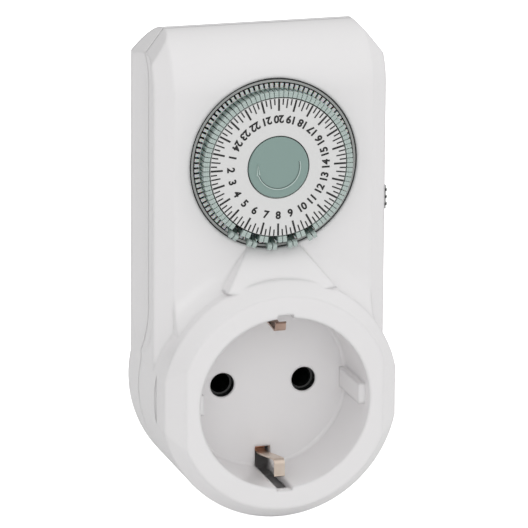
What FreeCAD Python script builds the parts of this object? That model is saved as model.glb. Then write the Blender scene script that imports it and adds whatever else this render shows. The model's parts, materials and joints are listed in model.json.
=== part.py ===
"""Plug-in timer switch: a round-pin mains adapter with a 24-hour segment dial above its outlet.

Frame: +Z up, +X to the right as seen from the front, the dial and the outlet face -Y.
The origin is the centre of the plug's end face, midway between the two plug pins.
"""
import FreeCAD, Part
import math
import os
import re

V = FreeCAD.Vector
doc = FreeCAD.newDocument("timer_switch")
sheet = doc.addObject("Spreadsheet::Sheet", "sizes")
sheet_rows = []


def size(alias, value, note):
    """Write one driving dimension into the sheet and return it as a number."""
    sheet_rows.append(alias)
    row = len(sheet_rows)
    sheet.set(f"A{row}", alias)
    sheet.set(f"B{row}", str(value))
    sheet.setAlias(f"B{row}", alias)
    sheet.set(f"C{row}", note)
    return float(value)


# Plug and outlet
plug_len = size("plug_len", 17.0, "depth of the plug body behind the housing")
plug_r = size("plug_r", 18.6, "radius of the plug body")
plug_wall = size("plug_wall", 2.2, "wall of the plug body")
plug_face_wall = size("plug_face_wall", 3.0, "thickness of the plug body's end")
key_w = size("key_w", 6.6, "width of the plug's side grooves")
key_deep = size("key_deep", 2.0, "depth of the plug's side grooves")
earth_seat = size("earth_seat", 1.3, "depth of the seat of a plug's earth contact")
earth_pass = size("earth_pass", 2.0, "length of the slot through which that contact leaves the plug")
pin_r = size("pin_r", 2.4, "radius of a plug pin")
pin_len = size("pin_len", 19.0, "free length of a plug pin")
pin_tip_r = size("pin_tip_r", 1.32, "radius of a plug pin's tip")
pin_pitch = size("pin_pitch", 19.0, "distance between the two pins")
pin_neck_r = size("pin_neck_r", 2.2, "radius of the pin's neck in the plug's end")
pin_neck_out = size("pin_neck_out", 0.3, "how far the neck stands out of the plug's end")
pin_sink_gap = size("pin_sink_gap", 0.2, "gap between a pin and its shallow seat in the plug's end")
pin_sink = size("pin_sink", 0.6, "depth of that seat")
pin_foot_r = size("pin_foot_r", 3.6, "radius of the pin's foot inside the plug")
pin_foot = size("pin_foot", 2.5, "thickness of the pin's foot")
cup_r = size("cup_r", 19.6, "radius of the outlet recess")
cup_wall = size("cup_wall", 1.6, "wall round the outlet recess")
cup_deep = size("cup_deep", 17.5, "depth of the outlet recess")
cup_floor = size("cup_floor", 2.2, "thickness of the outlet floor")
cup_hole_r = size("cup_hole_r", 2.85, "radius of a pin hole in the outlet floor")
rib_w = size("rib_w", 4.6, "width of a guide rib in the recess")
rib_high = size("rib_high", 1.7, "height of a guide rib")
rib_back = size("rib_back", 3.0, "distance from the outlet's face to the ribs")
slot_w = size("slot_w", 3.6, "width of the earth slots")
slot_in = size("slot_in", 4.6, "from the recess wall in to an earth slot's inner end")
slot_past = size("slot_past", 0.6, "how far an earth slot reaches past the recess wall's outside")
slot_mouth = size("slot_mouth", 0.7, "how far an earth slot cuts into the recess rim")
slot_lip = size("slot_lip", 2.2, "depth below which an earth slot passes through the recess wall")
sleeve_bore = size("sleeve_bore", 2.45, "bore radius of a contact sleeve")
sleeve_wall = size("sleeve_wall", 0.7, "wall of a contact sleeve")
sleeve_len = size("sleeve_len", 17.0, "length of a contact sleeve")
sleeve_gap = size("sleeve_gap", 0.3, "from the outlet floor back to a contact sleeve")

# Housing
body_half = size("body_half", 26.8, "half the housing's width")
foot_bulge = size("foot_bulge", 0.6, "how much the round lower end's radius exceeds half the width")
dial_up = size("dial_up", 52.4, "height of the dial's axis over the outlet's axis")
top_over = size("top_over", 29.0, "height of the housing's top over the dial's axis")
shell_deep = size("shell_deep", 22.0, "from the dial's opening to the housing's back")
seam_deep = size("seam_deep", 13.1, "from the dial's opening to the seam between the covers")
head_rise = size("head_rise", 10.3, "how far the outlet's face stands in front of the dial's opening")
top_front_r = size("top_front_r", 13.0, "rounding of the front's top end")
top_back_r = size("top_back_r", 8.0, "rounding of the back's top end")
corner_cut = size("corner_cut", 5.0, "width of the cut across each top corner")
corner_high = size("corner_high", 6.5, "height of that cut")
bevel = size("bevel", 3.9, "width of the bevel along the sides of the front")
bevel_deep = size("bevel_deep", 2.9, "depth of that bevel")
head_bevel = size("head_bevel", 3.8, "depth of the bevel round the outlet's face")
head_flat = size("head_flat", 22.7, "half-width of the outlet's flat face")
head_face_r = size("head_face_r", 24.5, "radius of the outlet's flat face")
flare_r = size("flare_r", 6.3, "hollow rounding from the dial's face up to the outlet")
flare_lap = size("flare_lap", 0.6, "how far that rounding laps over the head's round edge")
wall = size("wall", 2.0, "wall of the covers, front and back")
side_wall = size("side_wall", 3.2, "wall of the covers at the grip sides")
grip_deep = size("grip_deep", 1.7, "depth of the finger scoop in each side")
grip_low = size("grip_low", 8.0, "lower end of the finger scoop")
grip_under = size("grip_under", 2.6, "from the housing's top to the finger scoop's upper end")
grip_end = size("grip_end", 10.5, "length over which the scoop runs out")
grip_reach = size("grip_reach", 8.6, "half the depth over which the finger scoop curves")
grip_ahead = size("grip_ahead", 0.9, "from the seam forward to the finger scoop's deepest line")
screw_side = size("screw_side", 7.8, "from the housing's side to an upper screw")
screw_under = size("screw_under", 8.4, "from the housing's top to an upper screw")
screw_in = size("screw_in", 4.26, "from the round lower end to a lower screw")
screw_lean = size("screw_lean", 40.1, "angle of a lower screw from straight down, in degrees")
boss_wall = size("boss_wall", 1.3, "wall of a screw boss in the front cover")
rear_boss_wall = size("rear_boss_wall", 2.7, "wall of a screw boss in the rear cover")
boss_start = size("boss_start", 1.2, "from the front wall back to a screw boss")
bore_start = size("bore_start", 2.4, "from the front wall back to the blind end of a screw bore")
screw_short = size("screw_short", 0.6, "from that blind end to the screw's tip")
screw_sink = size("screw_sink", 1.4, "how deep a screw head lies under the housing's back")
head_wall = size("head_wall", 2.4, "wall round the head that carries the outlet")
head_shelf = size("head_shelf", 1.4, "from the head's bevel back to the hollow behind it")
head_back = size("head_back", 0.5, "how far that hollow reaches behind the front wall")
foot_post_r = size("foot_post_r", 2.4, "radius of a foot that carries the mechanism plate")
foot_side = size("foot_side", 6.8, "from the housing's side to such a foot")
foot_above = size("foot_above", 3.5, "from the plate's lower edge up to the lowest foot")
foot_under = size("foot_under", 2.5, "from the plate's upper edge down to the highest foot")
foot_drop = size("foot_drop", 0.4, "from the dial's axis down to the middle foot")
seam_gap = size("seam_gap", 0.15, "groove between the two covers")
ramp_top = size("ramp_top", 5.8, "half-width of the ramp at the dial")
ramp_foot = size("ramp_foot", 12.7, "half-width of the ramp at the outlet")
ramp_lap = size("ramp_lap", 0.7, "how far the ramp laps over the dial's opening")
ramp_short = size("ramp_short", 2.4, "from the head's round edge in to the ramp's foot")
ramp_proud = size("ramp_proud", 0.8, "how far the ramp's foot rises into the head's bevel")

# Dial
hole_r = size("hole_r", 19.3, "radius of the dial's opening")
dial_rise = size("dial_rise", 3.7, "how far the dial's face stands in front of its opening")
face_r = size("face_r", 15.6, "radius of the dial's numbered face")
face_thick = size("face_thick", 1.2, "thickness of the dial's face")
cap_r = size("cap_r", 6.9, "radius of the green cap")
cap_gap = size("cap_gap", 0.25, "gap round the green cap")
hub_r = size("hub_r", 4.0, "radius of the dial's hub")
axle_r = size("axle_r", 2.0, "radius of the dial's axle")
run_gap = size("run_gap", 0.05, "radial running clearance on every axle")
carrier_r = size("carrier_r", 18.95, "outer radius of the tappet carrier")
carrier_in = size("carrier_in", 13.2, "inner radius of the tappet carrier")
carrier_thick = size("carrier_thick", 1.2, "thickness of the tappet carrier")
lip_thick = size("lip_thick", 0.45, "thickness of the lip round the tappet carrier")
lip_high = size("lip_high", 1.4, "height of that lip")
tappet_count = int(size("tappet_count", 96, "one tappet for each quarter of an hour"))
tappet_w = size("tappet_w", 0.92, "width of a tappet's head along the rim")
tappet_foot_w = size("tappet_foot_w", 0.62, "width of a tappet's foot along the rim")
tappet_tilt = size("tappet_tilt", 24.0, "tilt of a tappet that is set, in degrees")
pivot_r = size("pivot_r", 16.9, "radius of the ring on which the tappets tilt")
pivot_deep = size("pivot_deep", 0.75, "from the dial's opening to the middle of that ring")
wire_r = size("wire_r", 0.3, "radius of that ring's wire")
wire_gap = size("wire_gap", 0.07, "gap between that wire and a tappet")
notch_deep = size("notch_deep", 0.1, "from the wire's middle back to the end of a tappet's foot")
head_slope = size("head_slope", 0.3, "drop of a tappet's head towards the dial's face")
tappet_out = size("tappet_out", 17.2, "outer radius of a tappet's head")
tappet_foot_r = size("tappet_foot_r", 18.2, "outer radius of a tappet's foot")
tappet_stem_r = size("tappet_stem_r", 16.25, "inner radius of a tappet's stem")
tappet_head = size("tappet_head", 1.3, "height of a tappet's head")
carrier_deep = size("carrier_deep", 1.6, "from the dial's opening to the tappet carrier")
skirt_out_r = size("skirt_out_r", 15.2, "outer radius of the skirt under the dial's face")
skirt_in_r = size("skirt_in_r", 14.2, "inner radius of that skirt")
cap_seat = size("cap_seat", 0.7, "depth of the seat for the green cap")
cap_proud = size("cap_proud", 0.25, "how far the green cap stands in front of the dial's face")

# Works
gear_pitch = size("gear_pitch", 0.6, "module of the dial gear and its pinion")
fine_pitch = size("fine_pitch", 0.5, "module of the other gears")
mesh_gap = size("mesh_gap", 0.12, "backlash between two meshed teeth")
pinion_teeth = int(size("pinion_teeth", 12, "teeth of every pinion"))
dial_teeth = int(size("dial_teeth", 48, "teeth of the dial gear"))
wheel_teeth = int(size("wheel_teeth", 36, "teeth of the first and second wheel"))
last_teeth = int(size("last_teeth", 30, "teeth of the wheel at the motor"))
dial_gear_gap = size("dial_gear_gap", 0.3, "from the tappet carrier to the dial gear")
dial_gear_thick = size("dial_gear_thick", 1.8, "thickness of the dial gear")
first_layer = size("first_layer", 5.3, "from the dial's opening to the first wheel")
layer_pitch = size("layer_pitch", 1.8, "from one wheel to the next behind it")
layer_gap = size("layer_gap", 0.2, "how far a pinion starts in front of the wheel it meshes with")
wheel_thick = size("wheel_thick", 1.2, "thickness of a wheel")
plate_thick = size("plate_thick", 1.0, "thickness of the mechanism plate")
plate_back = size("plate_back", 8.4, "from the housing's inner back to the mechanism plate")
post_r = size("post_r", 0.8, "radius of a gear axle")
motor_r = size("motor_r", 10.4, "radius of the motor")
can_wall = size("can_wall", 0.7, "wall of the motor's can")
coil_in_r = size("coil_in_r", 5.2, "inner radius of the motor's coil")
magnet_r = size("magnet_r", 4.7, "radius of the rotor's magnet")
shaft_r = size("shaft_r", 1.2, "radius of the rotor's shaft")
screw_r = size("screw_r", 1.5, "radius of a housing screw")
screw_head_r = size("screw_head_r", 2.7, "radius of a screw head")
screw_head = size("screw_head", 2.0, "height of a screw head")
slot_deep = size("slot_deep", 0.9, "depth of the slot in a screw head")
slot_half = size("slot_half", 0.35, "half the width of that slot")
slot_long = size("slot_long", 2.2, "half the length of that slot")
train_room = size("train_room", 0.42, "gap between the second wheel and the covers' side wall")
train_step = size("train_step", 1.0, "how far the second wheel sits outside the first, across")
motor_reach = size("motor_reach", 21.6173, "distance from the second wheel's axis to the motor's")
motor_over = size("motor_over", 11.6, "height of the motor's axis over the dial's")
plate_below = size("plate_below", 21.9, "how far the mechanism plate reaches below the dial's axis")
plate_above = size("plate_above", 16.1, "how far the mechanism plate reaches above the dial's axis")
plate_crown = size("plate_crown", 7.0, "height of the mechanism plate's crown for the motor")
plate_notch = size("plate_notch", 3.0, "height of the notch beside the mechanism plate's switch end")
plate_side = size("plate_side", 0.6, "gap between the mechanism plate and the covers' side wall")
notch_in = size("notch_in", 2.6, "from the lever's axle in to the plate's notch")
crown_in = size("crown_in", 0.4, "from the motor's side in to the plate's crown")
crown_gap = size("crown_gap", 2.7, "from a screw boss to the plate's crown")
axle_short = size("axle_short", 0.6, "from the back of the dial's face to the tip of its axle")
can_back = size("can_back", 0.2, "gap between the motor and the housing's inner back")
coil_room = size("coil_room", 0.3, "gap between the motor's can and its coil")
rotor_room = size("rotor_room", 0.4, "gap in front of and behind the rotor's magnet")
lever_drop = size("lever_drop", 17.8, "from the dial's axis down to the lever's axle")
lever_aside = size("lever_aside", 8.6, "from the dial's axis across to the lever's axle")
lever_deep = size("lever_deep", 3.6, "from the dial's opening back to the lever")
lever_thick = size("lever_thick", 1.2, "thickness of the lever")
lever_out = size("lever_out", 6.0, "from the lever's axle across to its nose")
lever_up = size("lever_up", 3.4, "from the lever's axle up to its nose")
axle_ahead = size("axle_ahead", 0.5, "how far the lever's axle stands in front of the lever")
nose_r = size("nose_r", 0.7, "radius of the lever's nose")
nose_gap = size("nose_gap", 0.3, "from the front wall back to the lever's nose")
contact_drop = size("contact_drop", 21.4, "from the dial's axis down to the contacts")
rivet_r = size("rivet_r", 1.1, "radius of a contact")
rivet_high = size("rivet_high", 0.4, "height of the fixed contact")
leaf_ahead = size("leaf_ahead", 2.1, "from the strips forward to the sprung leaf")
leaf_thick = size("leaf_thick", 0.4, "thickness of the sprung leaf")
leaf_half = size("leaf_half", 1.3, "half the width of the sprung leaf")
leaf_end = size("leaf_end", 1.5, "how far the leaf reaches past its contact and its foot")
leaf_low = size("leaf_low", 0.3, "from the strips' contact height down to the leaf's middle")
leaf_gap = size("leaf_gap", 0.05, "gap between the leaf and its foot")
leaf_foot_in = size("leaf_foot_in", 0.6, "from the output strip's side in to the leaf's foot")
strip_over = size("strip_over", 3.8, "from the outlet cup up to the live strip's forward run")
clip_thick = size("clip_thick", 0.6, "thickness of the earth clips")
clip_off = size("clip_off", 3.0, "from the recess wall to an earth clip's straight run")
clip_bow = size("clip_bow", 2.3, "how far an earth clip bows further inwards")
bridge_gap = size("bridge_gap", 1.0, "from the outlet floor back to the earth bridge")
earth_under = size("earth_under", 1.4, "from the plug's inner wall to its earth contact's hidden leg")
earth_out = size("earth_out", 0.8, "from the plug's side in to its earth contact's face")
earth_end = size("earth_end", 1.6, "from the plug's end face to the end of that contact")
fit_gap = size("fit_gap", 0.1, "gap between pieces that are screwed or snapped together")
strip_thick = size("strip_thick", 0.8, "thickness of the copper strips")
strip_w = size("strip_w", 3.0, "width of the copper strips")
strip_inset = size("strip_inset", 1.16, "from the plug's inner wall to the live strip's middle")
strip_back = size("strip_back", 1.2, "from the housing's inner back to that strip's middle")
strip_ahead = size("strip_ahead", 4.0, "from the mechanism plate forward to that strip's end")
out_gap = size("out_gap", 1.2, "from a contact sleeve across to the output strip")
out_ahead = size("out_ahead", 6.4, "from the live strip's back run forward to the output strip")
out_step = size("out_step", 1.0, "how far the output strip's end stands in front of the live strip's")
out_drop = size("out_drop", 2.0, "from the contacts down to the output strip's forward run")
out_over = size("out_over", 1.0, "from the contacts up to the output strip's end")
tab_half = size("tab_half", 2.0, "half the length of the tab between sleeve and output strip")

# Override slide
slide_drop = size("slide_drop", 12.4, "from the dial's axis down to the middle of the slide's window")
slide_window = size("slide_window", 10.6, "length of the slide's window")
slide_wide = size("slide_wide", 3.6, "width of the slide's window")
slide_travel = size("slide_travel", 4.6, "travel of the override slide")
slide_deep = size("slide_deep", 5.3, "from the dial's opening to the middle of the slide")
slide_gap = size("slide_gap", 0.2, "gap between the slide's knob and its window")
knob_under = size("knob_under", 0.1, "how far the knob lies under the housing's side")
knob_root = size("knob_root", 0.5, "how far the knob reaches in past the side wall")
ridge_proud = size("ridge_proud", 0.35, "how far a ridge stands out of the housing's side")
ridge_half = size("ridge_half", 0.3, "half the width of a ridge")
ridge_long = size("ridge_long", 1.5, "half the length of a ridge")
ridge_first = size("ridge_first", 0.8, "from the knob's lower end up to the first ridge")
ridge_pitch = size("ridge_pitch", 1.5, "from one ridge to the next")
flange_thick = size("flange_thick", 2.3, "thickness of the slide's flange")
flange_gap = size("flange_gap", 0.3, "gap between that flange and the side wall")
flange_ahead = size("flange_ahead", 0.2, "how far the flange reaches in front of the slide's middle")
flange_back = size("flange_back", 2.3, "how far the flange reaches behind the slide's middle")
flange_over = size("flange_over", 1.2, "how far the flange reaches past the knob, up and down")
arm_gap = size("arm_gap", 2.9, "from the lever's nose across to the slide's arm")
arm_back = size("arm_back", 0.7, "how far the arm reaches behind the slide's middle")
arm_ahead = size("arm_ahead", 1.5, "how far the arm reaches in front of the slide's middle")
arm_low = size("arm_low", 1.5, "from the knob's lower end up to the arm")
arm_high = size("arm_high", 1.5, "height of the arm")
doc.recompute()

# Planes along Y that several pieces share
back_y = -plug_len
dial_y = back_y - shell_deep
seam_y = dial_y + seam_deep
head_y = dial_y - head_rise
floor_y = head_y + cup_deep
plate_y = back_y - wall - plate_back
face_y = dial_y - dial_rise
pin_x = pin_pitch / 2
foot_r = body_half + foot_bulge
top_up = dial_up + top_over
slide_up = dial_up - slide_drop


def bind(thing, **texts):
    """Tie properties of an object to the sheet; s.name stands for a cell and __ for a dot."""
    for name, text in texts.items():
        thing.setExpression(name.replace("__", "."), re.sub(r"\bs\.", "sizes.", str(text)))


BACK = "(-s.plug_len)"
DIAL = "(-s.plug_len - s.shell_deep)"
SEAM = "(-s.plug_len - s.shell_deep + s.seam_deep)"
HEAD = "(-s.plug_len - s.shell_deep - s.head_rise)"
FLOOR = "(-s.plug_len - s.shell_deep - s.head_rise + s.cup_deep)"
PLATE = "(-s.plug_len - s.wall - s.plate_back)"
FACE = "(-s.plug_len - s.shell_deep - s.dial_rise)"
PIN = "(s.pin_pitch / 2)"
SLIDE = "(s.dial_up - s.slide_drop)"
SLOT_IN = "(s.cup_r - s.slot_in)"
FAR = "200"
LAP = 0.2


def block(name, x0, x1, y0, y1, z0, z1):
    """Box between two corners, each coordinate an expression."""
    made = doc.addObject("Part::Box", name)
    bind(made, Length=f"({x1}) - ({x0})", Width=f"({y1}) - ({y0})", Height=f"({z1}) - ({z0})")
    bind(made, Placement__Base__x=x0, Placement__Base__y=y0, Placement__Base__z=z0)
    return made


def rod(name, radius, y0, y1, x="0", z="0"):
    """Cylinder along +Y from y0 to y1."""
    made = doc.addObject("Part::Cylinder", name)
    made.Placement = FreeCAD.Placement(V(), FreeCAD.Rotation(V(1, 0, 0), -90))
    bind(made, Radius=radius, Height=f"({y1}) - ({y0})")
    bind(made, Placement__Base__x=x, Placement__Base__y=y0, Placement__Base__z=z)
    return made


def taper(name, radius0, radius1, y0, y1, x="0", z="0"):
    """Cone along +Y, radius0 at y0 and radius1 at y1."""
    made = doc.addObject("Part::Cone", name)
    made.Placement = FreeCAD.Placement(V(), FreeCAD.Rotation(V(1, 0, 0), -90))
    bind(made, Radius1=radius0, Radius2=radius1, Height=f"({y1}) - ({y0})")
    bind(made, Placement__Base__x=x, Placement__Base__y=y0, Placement__Base__z=z)
    return made


def fuse(name, *pieces):
    """One solid from several."""
    made = doc.addObject("Part::MultiFuse", name)
    made.Shapes = list(pieces)
    made.Refine = True
    return made


def cut(name, base, *tools):
    """The base with the tools taken out of it."""
    made = doc.addObject("Part::Cut", name)
    made.Base = base
    made.Tool = tools[0] if len(tools) == 1 else fuse(name + "_tools", *tools)
    made.Refine = True
    return made


def common(name, *pieces):
    """What several solids share."""
    made = doc.addObject("Part::MultiCommon", name)
    made.Shapes = list(pieces)
    made.Refine = True
    return made


def draw(sketch, outline):
    """Closed outline of points; ('arc', through, end) makes the next stretch an arc."""
    start = last = V(*outline[0], 0)
    for item in outline[1:] + [outline[0]]:
        if item[0] == "arc":
            end = V(*item[2], 0)
            sketch.addGeometry(Part.Arc(last, V(*item[1], 0), end), False)
        else:
            end = V(*item, 0)
            if (end - last).Length > 1e-7:
                sketch.addGeometry(Part.LineSegment(last, end), False)
        last = end
    if (last - start).Length > 1e-7:
        sketch.addGeometry(Part.LineSegment(last, start), False)


def prism(name, outline, along, start, length):
    """Outline extruded along X (drawn in Y, Z), Y (drawn in X, Z) or Z (drawn in X, Y)."""
    turns = {
        "X": FreeCAD.Rotation(V(0, 1, 0), V(0, 0, 1), V(1, 0, 0)),
        "Y": FreeCAD.Rotation(V(1, 0, 0), 90),
        "Z": FreeCAD.Rotation(),
    }
    sketch = doc.addObject("Sketcher::SketchObject", name + "_outline")
    draw(sketch, outline)
    sketch.Placement = FreeCAD.Placement(V(), turns[along])
    made = doc.addObject("Part::Extrusion", name)
    made.Base = sketch
    made.DirMode = "Custom"
    made.Dir = {"X": V(1, 0, 0), "Y": V(0, 1, 0), "Z": V(0, 0, 1)}[along]
    made.Solid = True
    bind(made, LengthFwd=length)
    bind(sketch, **{"Placement__Base__" + along.lower(): start})
    return made


def sketched_body(label, role, offset, outlines, length, circles=()):
    """PartDesign body padded from a sketch on one of its origin planes."""
    body = doc.addObject("PartDesign::Body", label)
    plane = next(item for item in body.Origin.OriginFeatures if item.Role == role)
    sketch = body.newObject("Sketcher::SketchObject", label + "_sketch")
    sketch.AttachmentSupport = [(plane, "")]
    sketch.MapMode = "FlatFace"
    sketch.AttachmentOffset = FreeCAD.Placement(V(0, 0, offset), FreeCAD.Rotation())
    for outline in outlines:
        draw(sketch, outline)
    for x, z, radius in circles:
        sketch.addGeometry(Part.Circle(V(x, z, 0), V(0, 0, 1), radius), False)
    pad = body.newObject("PartDesign::Pad", label + "_pad")
    pad.Profile = sketch
    pad.Reversed = role == "XZ_Plane"
    bind(pad, Length=length)
    body.Tip = pad
    return body


def plate_body(label, y0, outlines, thick, circles=()):
    """Body whose outline is drawn as seen from the front and which runs back from y0."""
    return sketched_body(label, "XZ_Plane", -y0, outlines, thick, circles)


def strip_body(label, x0, route, thick, width):
    """Bent strip: a route in Y, Z given a thickness, and a width along +X."""
    left, right = [], []
    for i, (y, z) in enumerate(route):
        before = V(*route[max(i - 1, 0)], 0)
        here = V(y, z, 0)
        after = V(*route[min(i + 1, len(route) - 1)], 0)
        into = (here - before) if i else (after - here)
        out = (after - here) if i < len(route) - 1 else into
        into.normalize()
        out.normalize()
        side_in, side_out = V(-into.y, into.x, 0), V(-out.y, out.x, 0)
        mitre = side_in + side_out
        mitre.multiply(thick / mitre.Length ** 2)
        left.append((y + mitre.x, z + mitre.y))
        right.append((y - mitre.x, z - mitre.y))
    return sketched_body(label, "YZ_Plane", x0, [left + right[::-1]], width)


# Tooth form: height over and depth under the pitch circle in modules, half-widths at tip and foot
# as shares of the half-width on the pitch circle
TOOTH_UP, TOOTH_DOWN = 0.9, 1.15
TIP_LEAN, FOOT_LEAN = 0.5, 1.55


def gear_outline(teeth, module, x, z, phase, gap):
    """Straight-flanked teeth round (x, z); phase is the angle of the middle of a tooth."""
    pitch_r = teeth * module / 2
    tip_r, root_r = pitch_r + TOOTH_UP * module, pitch_r - TOOTH_DOWN * module
    half = math.pi / (2 * teeth) - gap / (2 * pitch_r)
    points = []
    for k in range(teeth):
        middle = phase + 2 * math.pi * k / teeth
        for radius, lean in ((root_r, -FOOT_LEAN), (tip_r, -TIP_LEAN), (tip_r, TIP_LEAN), (root_r,
            FOOT_LEAN)):
            angle = middle + lean * half
            points.append((x + radius * math.cos(angle), z + radius * math.sin(angle)))
    return points


made_parts = []


def keep(thing, label):
    """Give a finished piece its name."""
    thing.Label = label
    made_parts.append(thing)
    return thing


def housing_outline(inset_side, inset_end):
    """Straight sides, cut top corners and a round lower end, drawn in X, Z."""
    half = body_half - inset_side
    low_r = foot_r - inset_side
    turn = math.sqrt(low_r ** 2 - half ** 2)
    top = top_up - inset_end
    return [
        (half, turn), (half, top - corner_high), (half - corner_cut, top), (-half + corner_cut, top),
        (-half, top - corner_high), (-half, turn), ("arc", (0, -low_r), (half, turn)),
    ]


def side_outline(inset, low):
    """Side view in Y, Z: flat front, rounded front top, rounded back top, flat back."""
    front, back, top = dial_y + inset, back_y - inset, top_up - inset
    r_front, r_back = top_front_r - inset, top_back_r - inset
    bend = math.sqrt(0.5)
    return [
        (front, low), (front, top - r_front),
        ("arc", (front + r_front * (1 - bend), top - r_front * (1 - bend)), (front + r_front, top)),
        (back - r_back, top),
        ("arc", (back - r_back * (1 - bend), top - r_back * (1 - bend)), (back, top - r_back)),
        (back, low),
    ]


def bevelled(name, base, x_edge, y_from, y_to):
    """Chamfer along the two side edges of a front, flat and rounded part alike."""
    doc.recompute()
    chosen = []
    for number, edge in enumerate(base.Shape.Edges, 1):
        box = edge.BoundBox
        flat = box.XLength < 1e-4 and abs(abs(box.XMin) - x_edge) < 1e-4
        at_front = abs(box.YMin - y_from) < 1e-4 and box.YMax < y_to + 1e-4
        if flat and at_front and box.ZLength > 1.0:
            side_first = base.Shape.ancestorsOfType(edge, Part.Face)[0].BoundBox.XLength < 1e-4
            chosen.append((number, bevel_deep, bevel) if side_first else (number, bevel, bevel_deep))
    made = doc.addObject("Part::Chamfer", name)
    made.Base = base
    made.Edges = chosen
    return made


def housing_core(name, inset_side, inset, low):
    """Solid housing between the dial's plane and the back, with its bevelled sides."""
    front_view = prism(name + "_front_view", housing_outline(inset_side, inset), "Y",
                       f"{DIAL} - 1", "s.shell_deep + 2")
    side_view = prism(name + "_side_view", side_outline(inset, low), "X", "(-s.body_half - 1)",
                      "2 * s.body_half + 2")
    return common(name + "_square", front_view, side_view)


outer = bevelled("outer", housing_core("outer", 0.0, 0.0, -foot_r - 1), body_half, dial_y,
                 dial_y + top_front_r)
inner = bevelled("inner", housing_core("inner", side_wall, wall, -foot_r + wall), body_half - side_wall,
                 dial_y + wall, dial_y + top_front_r)

# Head round the outlet, in front of the dial's plane
head_round = fuse(
    "head_round",
    rod("head_drum", "(s.body_half + s.foot_bulge)", f"{HEAD} + s.head_bevel", f"{DIAL} + s.bevel"),
    taper("head_cone", "s.head_face_r", "(s.body_half + s.foot_bulge)", HEAD, f"{HEAD} + s.head_bevel"),
)
head_plan = prism("head_plan", [
    (-body_half, dial_y + bevel + 1), (-body_half, head_y + head_bevel), (-head_flat, head_y),
    (head_flat, head_y), (body_half, head_y + head_bevel), (body_half, dial_y + bevel + 1),
], "Z", "(-(s.body_half + s.foot_bulge) - 1)", "2 * (s.body_half + s.foot_bulge) + 2")
head = common("head", head_round, head_plan)

# Hollow rounding that carries the dial's face up to the head
flare_out = foot_r + flare_r - flare_lap
flare_sketch = doc.addObject("Sketcher::SketchObject", "flare_outline")
draw(flare_sketch, [
    (0, -1.0), (flare_out, -1.0), (flare_out, 0.0),
    ("arc", (flare_out - flare_r * math.sqrt(0.5), flare_r * (1 - math.sqrt(0.5))), (flare_out - flare_r,
        flare_r)),
    (0, flare_r),
])
flare_sketch.Placement = FreeCAD.Placement(V(0, dial_y, 0), FreeCAD.Rotation(V(1, 0, 0), V(0, -1, 0), V(0,
    0, -1)))
flare_round = doc.addObject("Part::Revolution", "flare_round")
flare_round.Source = flare_sketch
flare_round.Axis = V(0, 1, 0)
flare_round.Base = V(0, 0, 0)
flare_round.Angle = 360
flare_round.Solid = True
flare = common("flare", flare_round, block("flare_limit", "-(s.body_half - s.bevel)",
               "(s.body_half - s.bevel)", f"{DIAL} - s.head_rise", f"{DIAL} + 1", "4", "s.dial_up"))

# Flat ramp between the dial's opening and the head
ramp_z_top = dial_up - hole_r + ramp_lap
ramp_z_foot = foot_r - ramp_short
ramp_rise = head_rise - head_bevel + ramp_proud
ramp = doc.addObject("Part::Feature", "ramp")
ramp_face = [V(-ramp_top, dial_y, ramp_z_top), V(ramp_top, dial_y, ramp_z_top),
             V(ramp_foot, dial_y - ramp_rise, ramp_z_foot), V(-ramp_foot, dial_y - ramp_rise, ramp_z_foot)]
ramp_low = [V(p.x, dial_y + 1.0, p.z) for p in ramp_face]


def faceted(corners_a, corners_b):
    """Solid between two four-cornered rings."""
    faces = [Part.Face(Part.makePolygon(corners_a + corners_a[:1])),
             Part.Face(Part.makePolygon(corners_b + corners_b[:1]))]
    for i in range(4):
        j = (i + 1) % 4
        ring = [corners_a[i], corners_a[j], corners_b[j], corners_b[i]]
        faces.append(Part.Face(Part.makePolygon(ring + ring[:1])))
    solid = Part.Solid(Part.Shell(faces))
    if solid.Volume < 0:
        solid.reverse()
    return solid


ramp.Shape = faceted(ramp_face, ramp_low)

# Finger scoops
bow = (grip_reach ** 2 + grip_deep ** 2) / (2 * grip_deep)


def scoop(name, side):
    """Barrel-shaped cutter that leaves a shallow hollow in one side."""
    sketch = doc.addObject("Sketcher::SketchObject", name + "_outline")
    deep, low, high, end = grip_deep, grip_low, top_up - grip_under, grip_end
    draw(sketch, [
        (0, low), (bow - deep, low), ("arc", (bow - deep * 0.25, low + end * 0.45), (bow, low + end)),
        (bow, high - end), ("arc", (bow - deep * 0.25, high - end * 0.45), (bow - deep, high)), (0, high),
    ])
    sketch.Placement = FreeCAD.Placement(V(), FreeCAD.Rotation(V(1, 0, 0), 90))
    turned = doc.addObject("Part::Revolution", name)
    turned.Source = sketch
    turned.Axis = V(0, 0, 1)
    turned.Base = V(0, 0, 0)
    turned.Angle = 360
    turned.Solid = True
    turned.Placement = FreeCAD.Placement(
        V(side * (body_half - grip_deep + bow), dial_y + seam_deep - grip_ahead, 0), FreeCAD.Rotation())
    return turned


# Screw places, shared by both covers and the screws
high_x, high_z = body_half - screw_side, top_up - screw_under
low_x = (foot_r - screw_in) * math.sin(math.radians(screw_lean))
low_z = -(foot_r - screw_in) * math.cos(math.radians(screw_lean))
screw_places = [(-high_x, high_z), (high_x, high_z), (-low_x, low_z), (low_x, low_z)]
boss_r = screw_r + boss_wall

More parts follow.
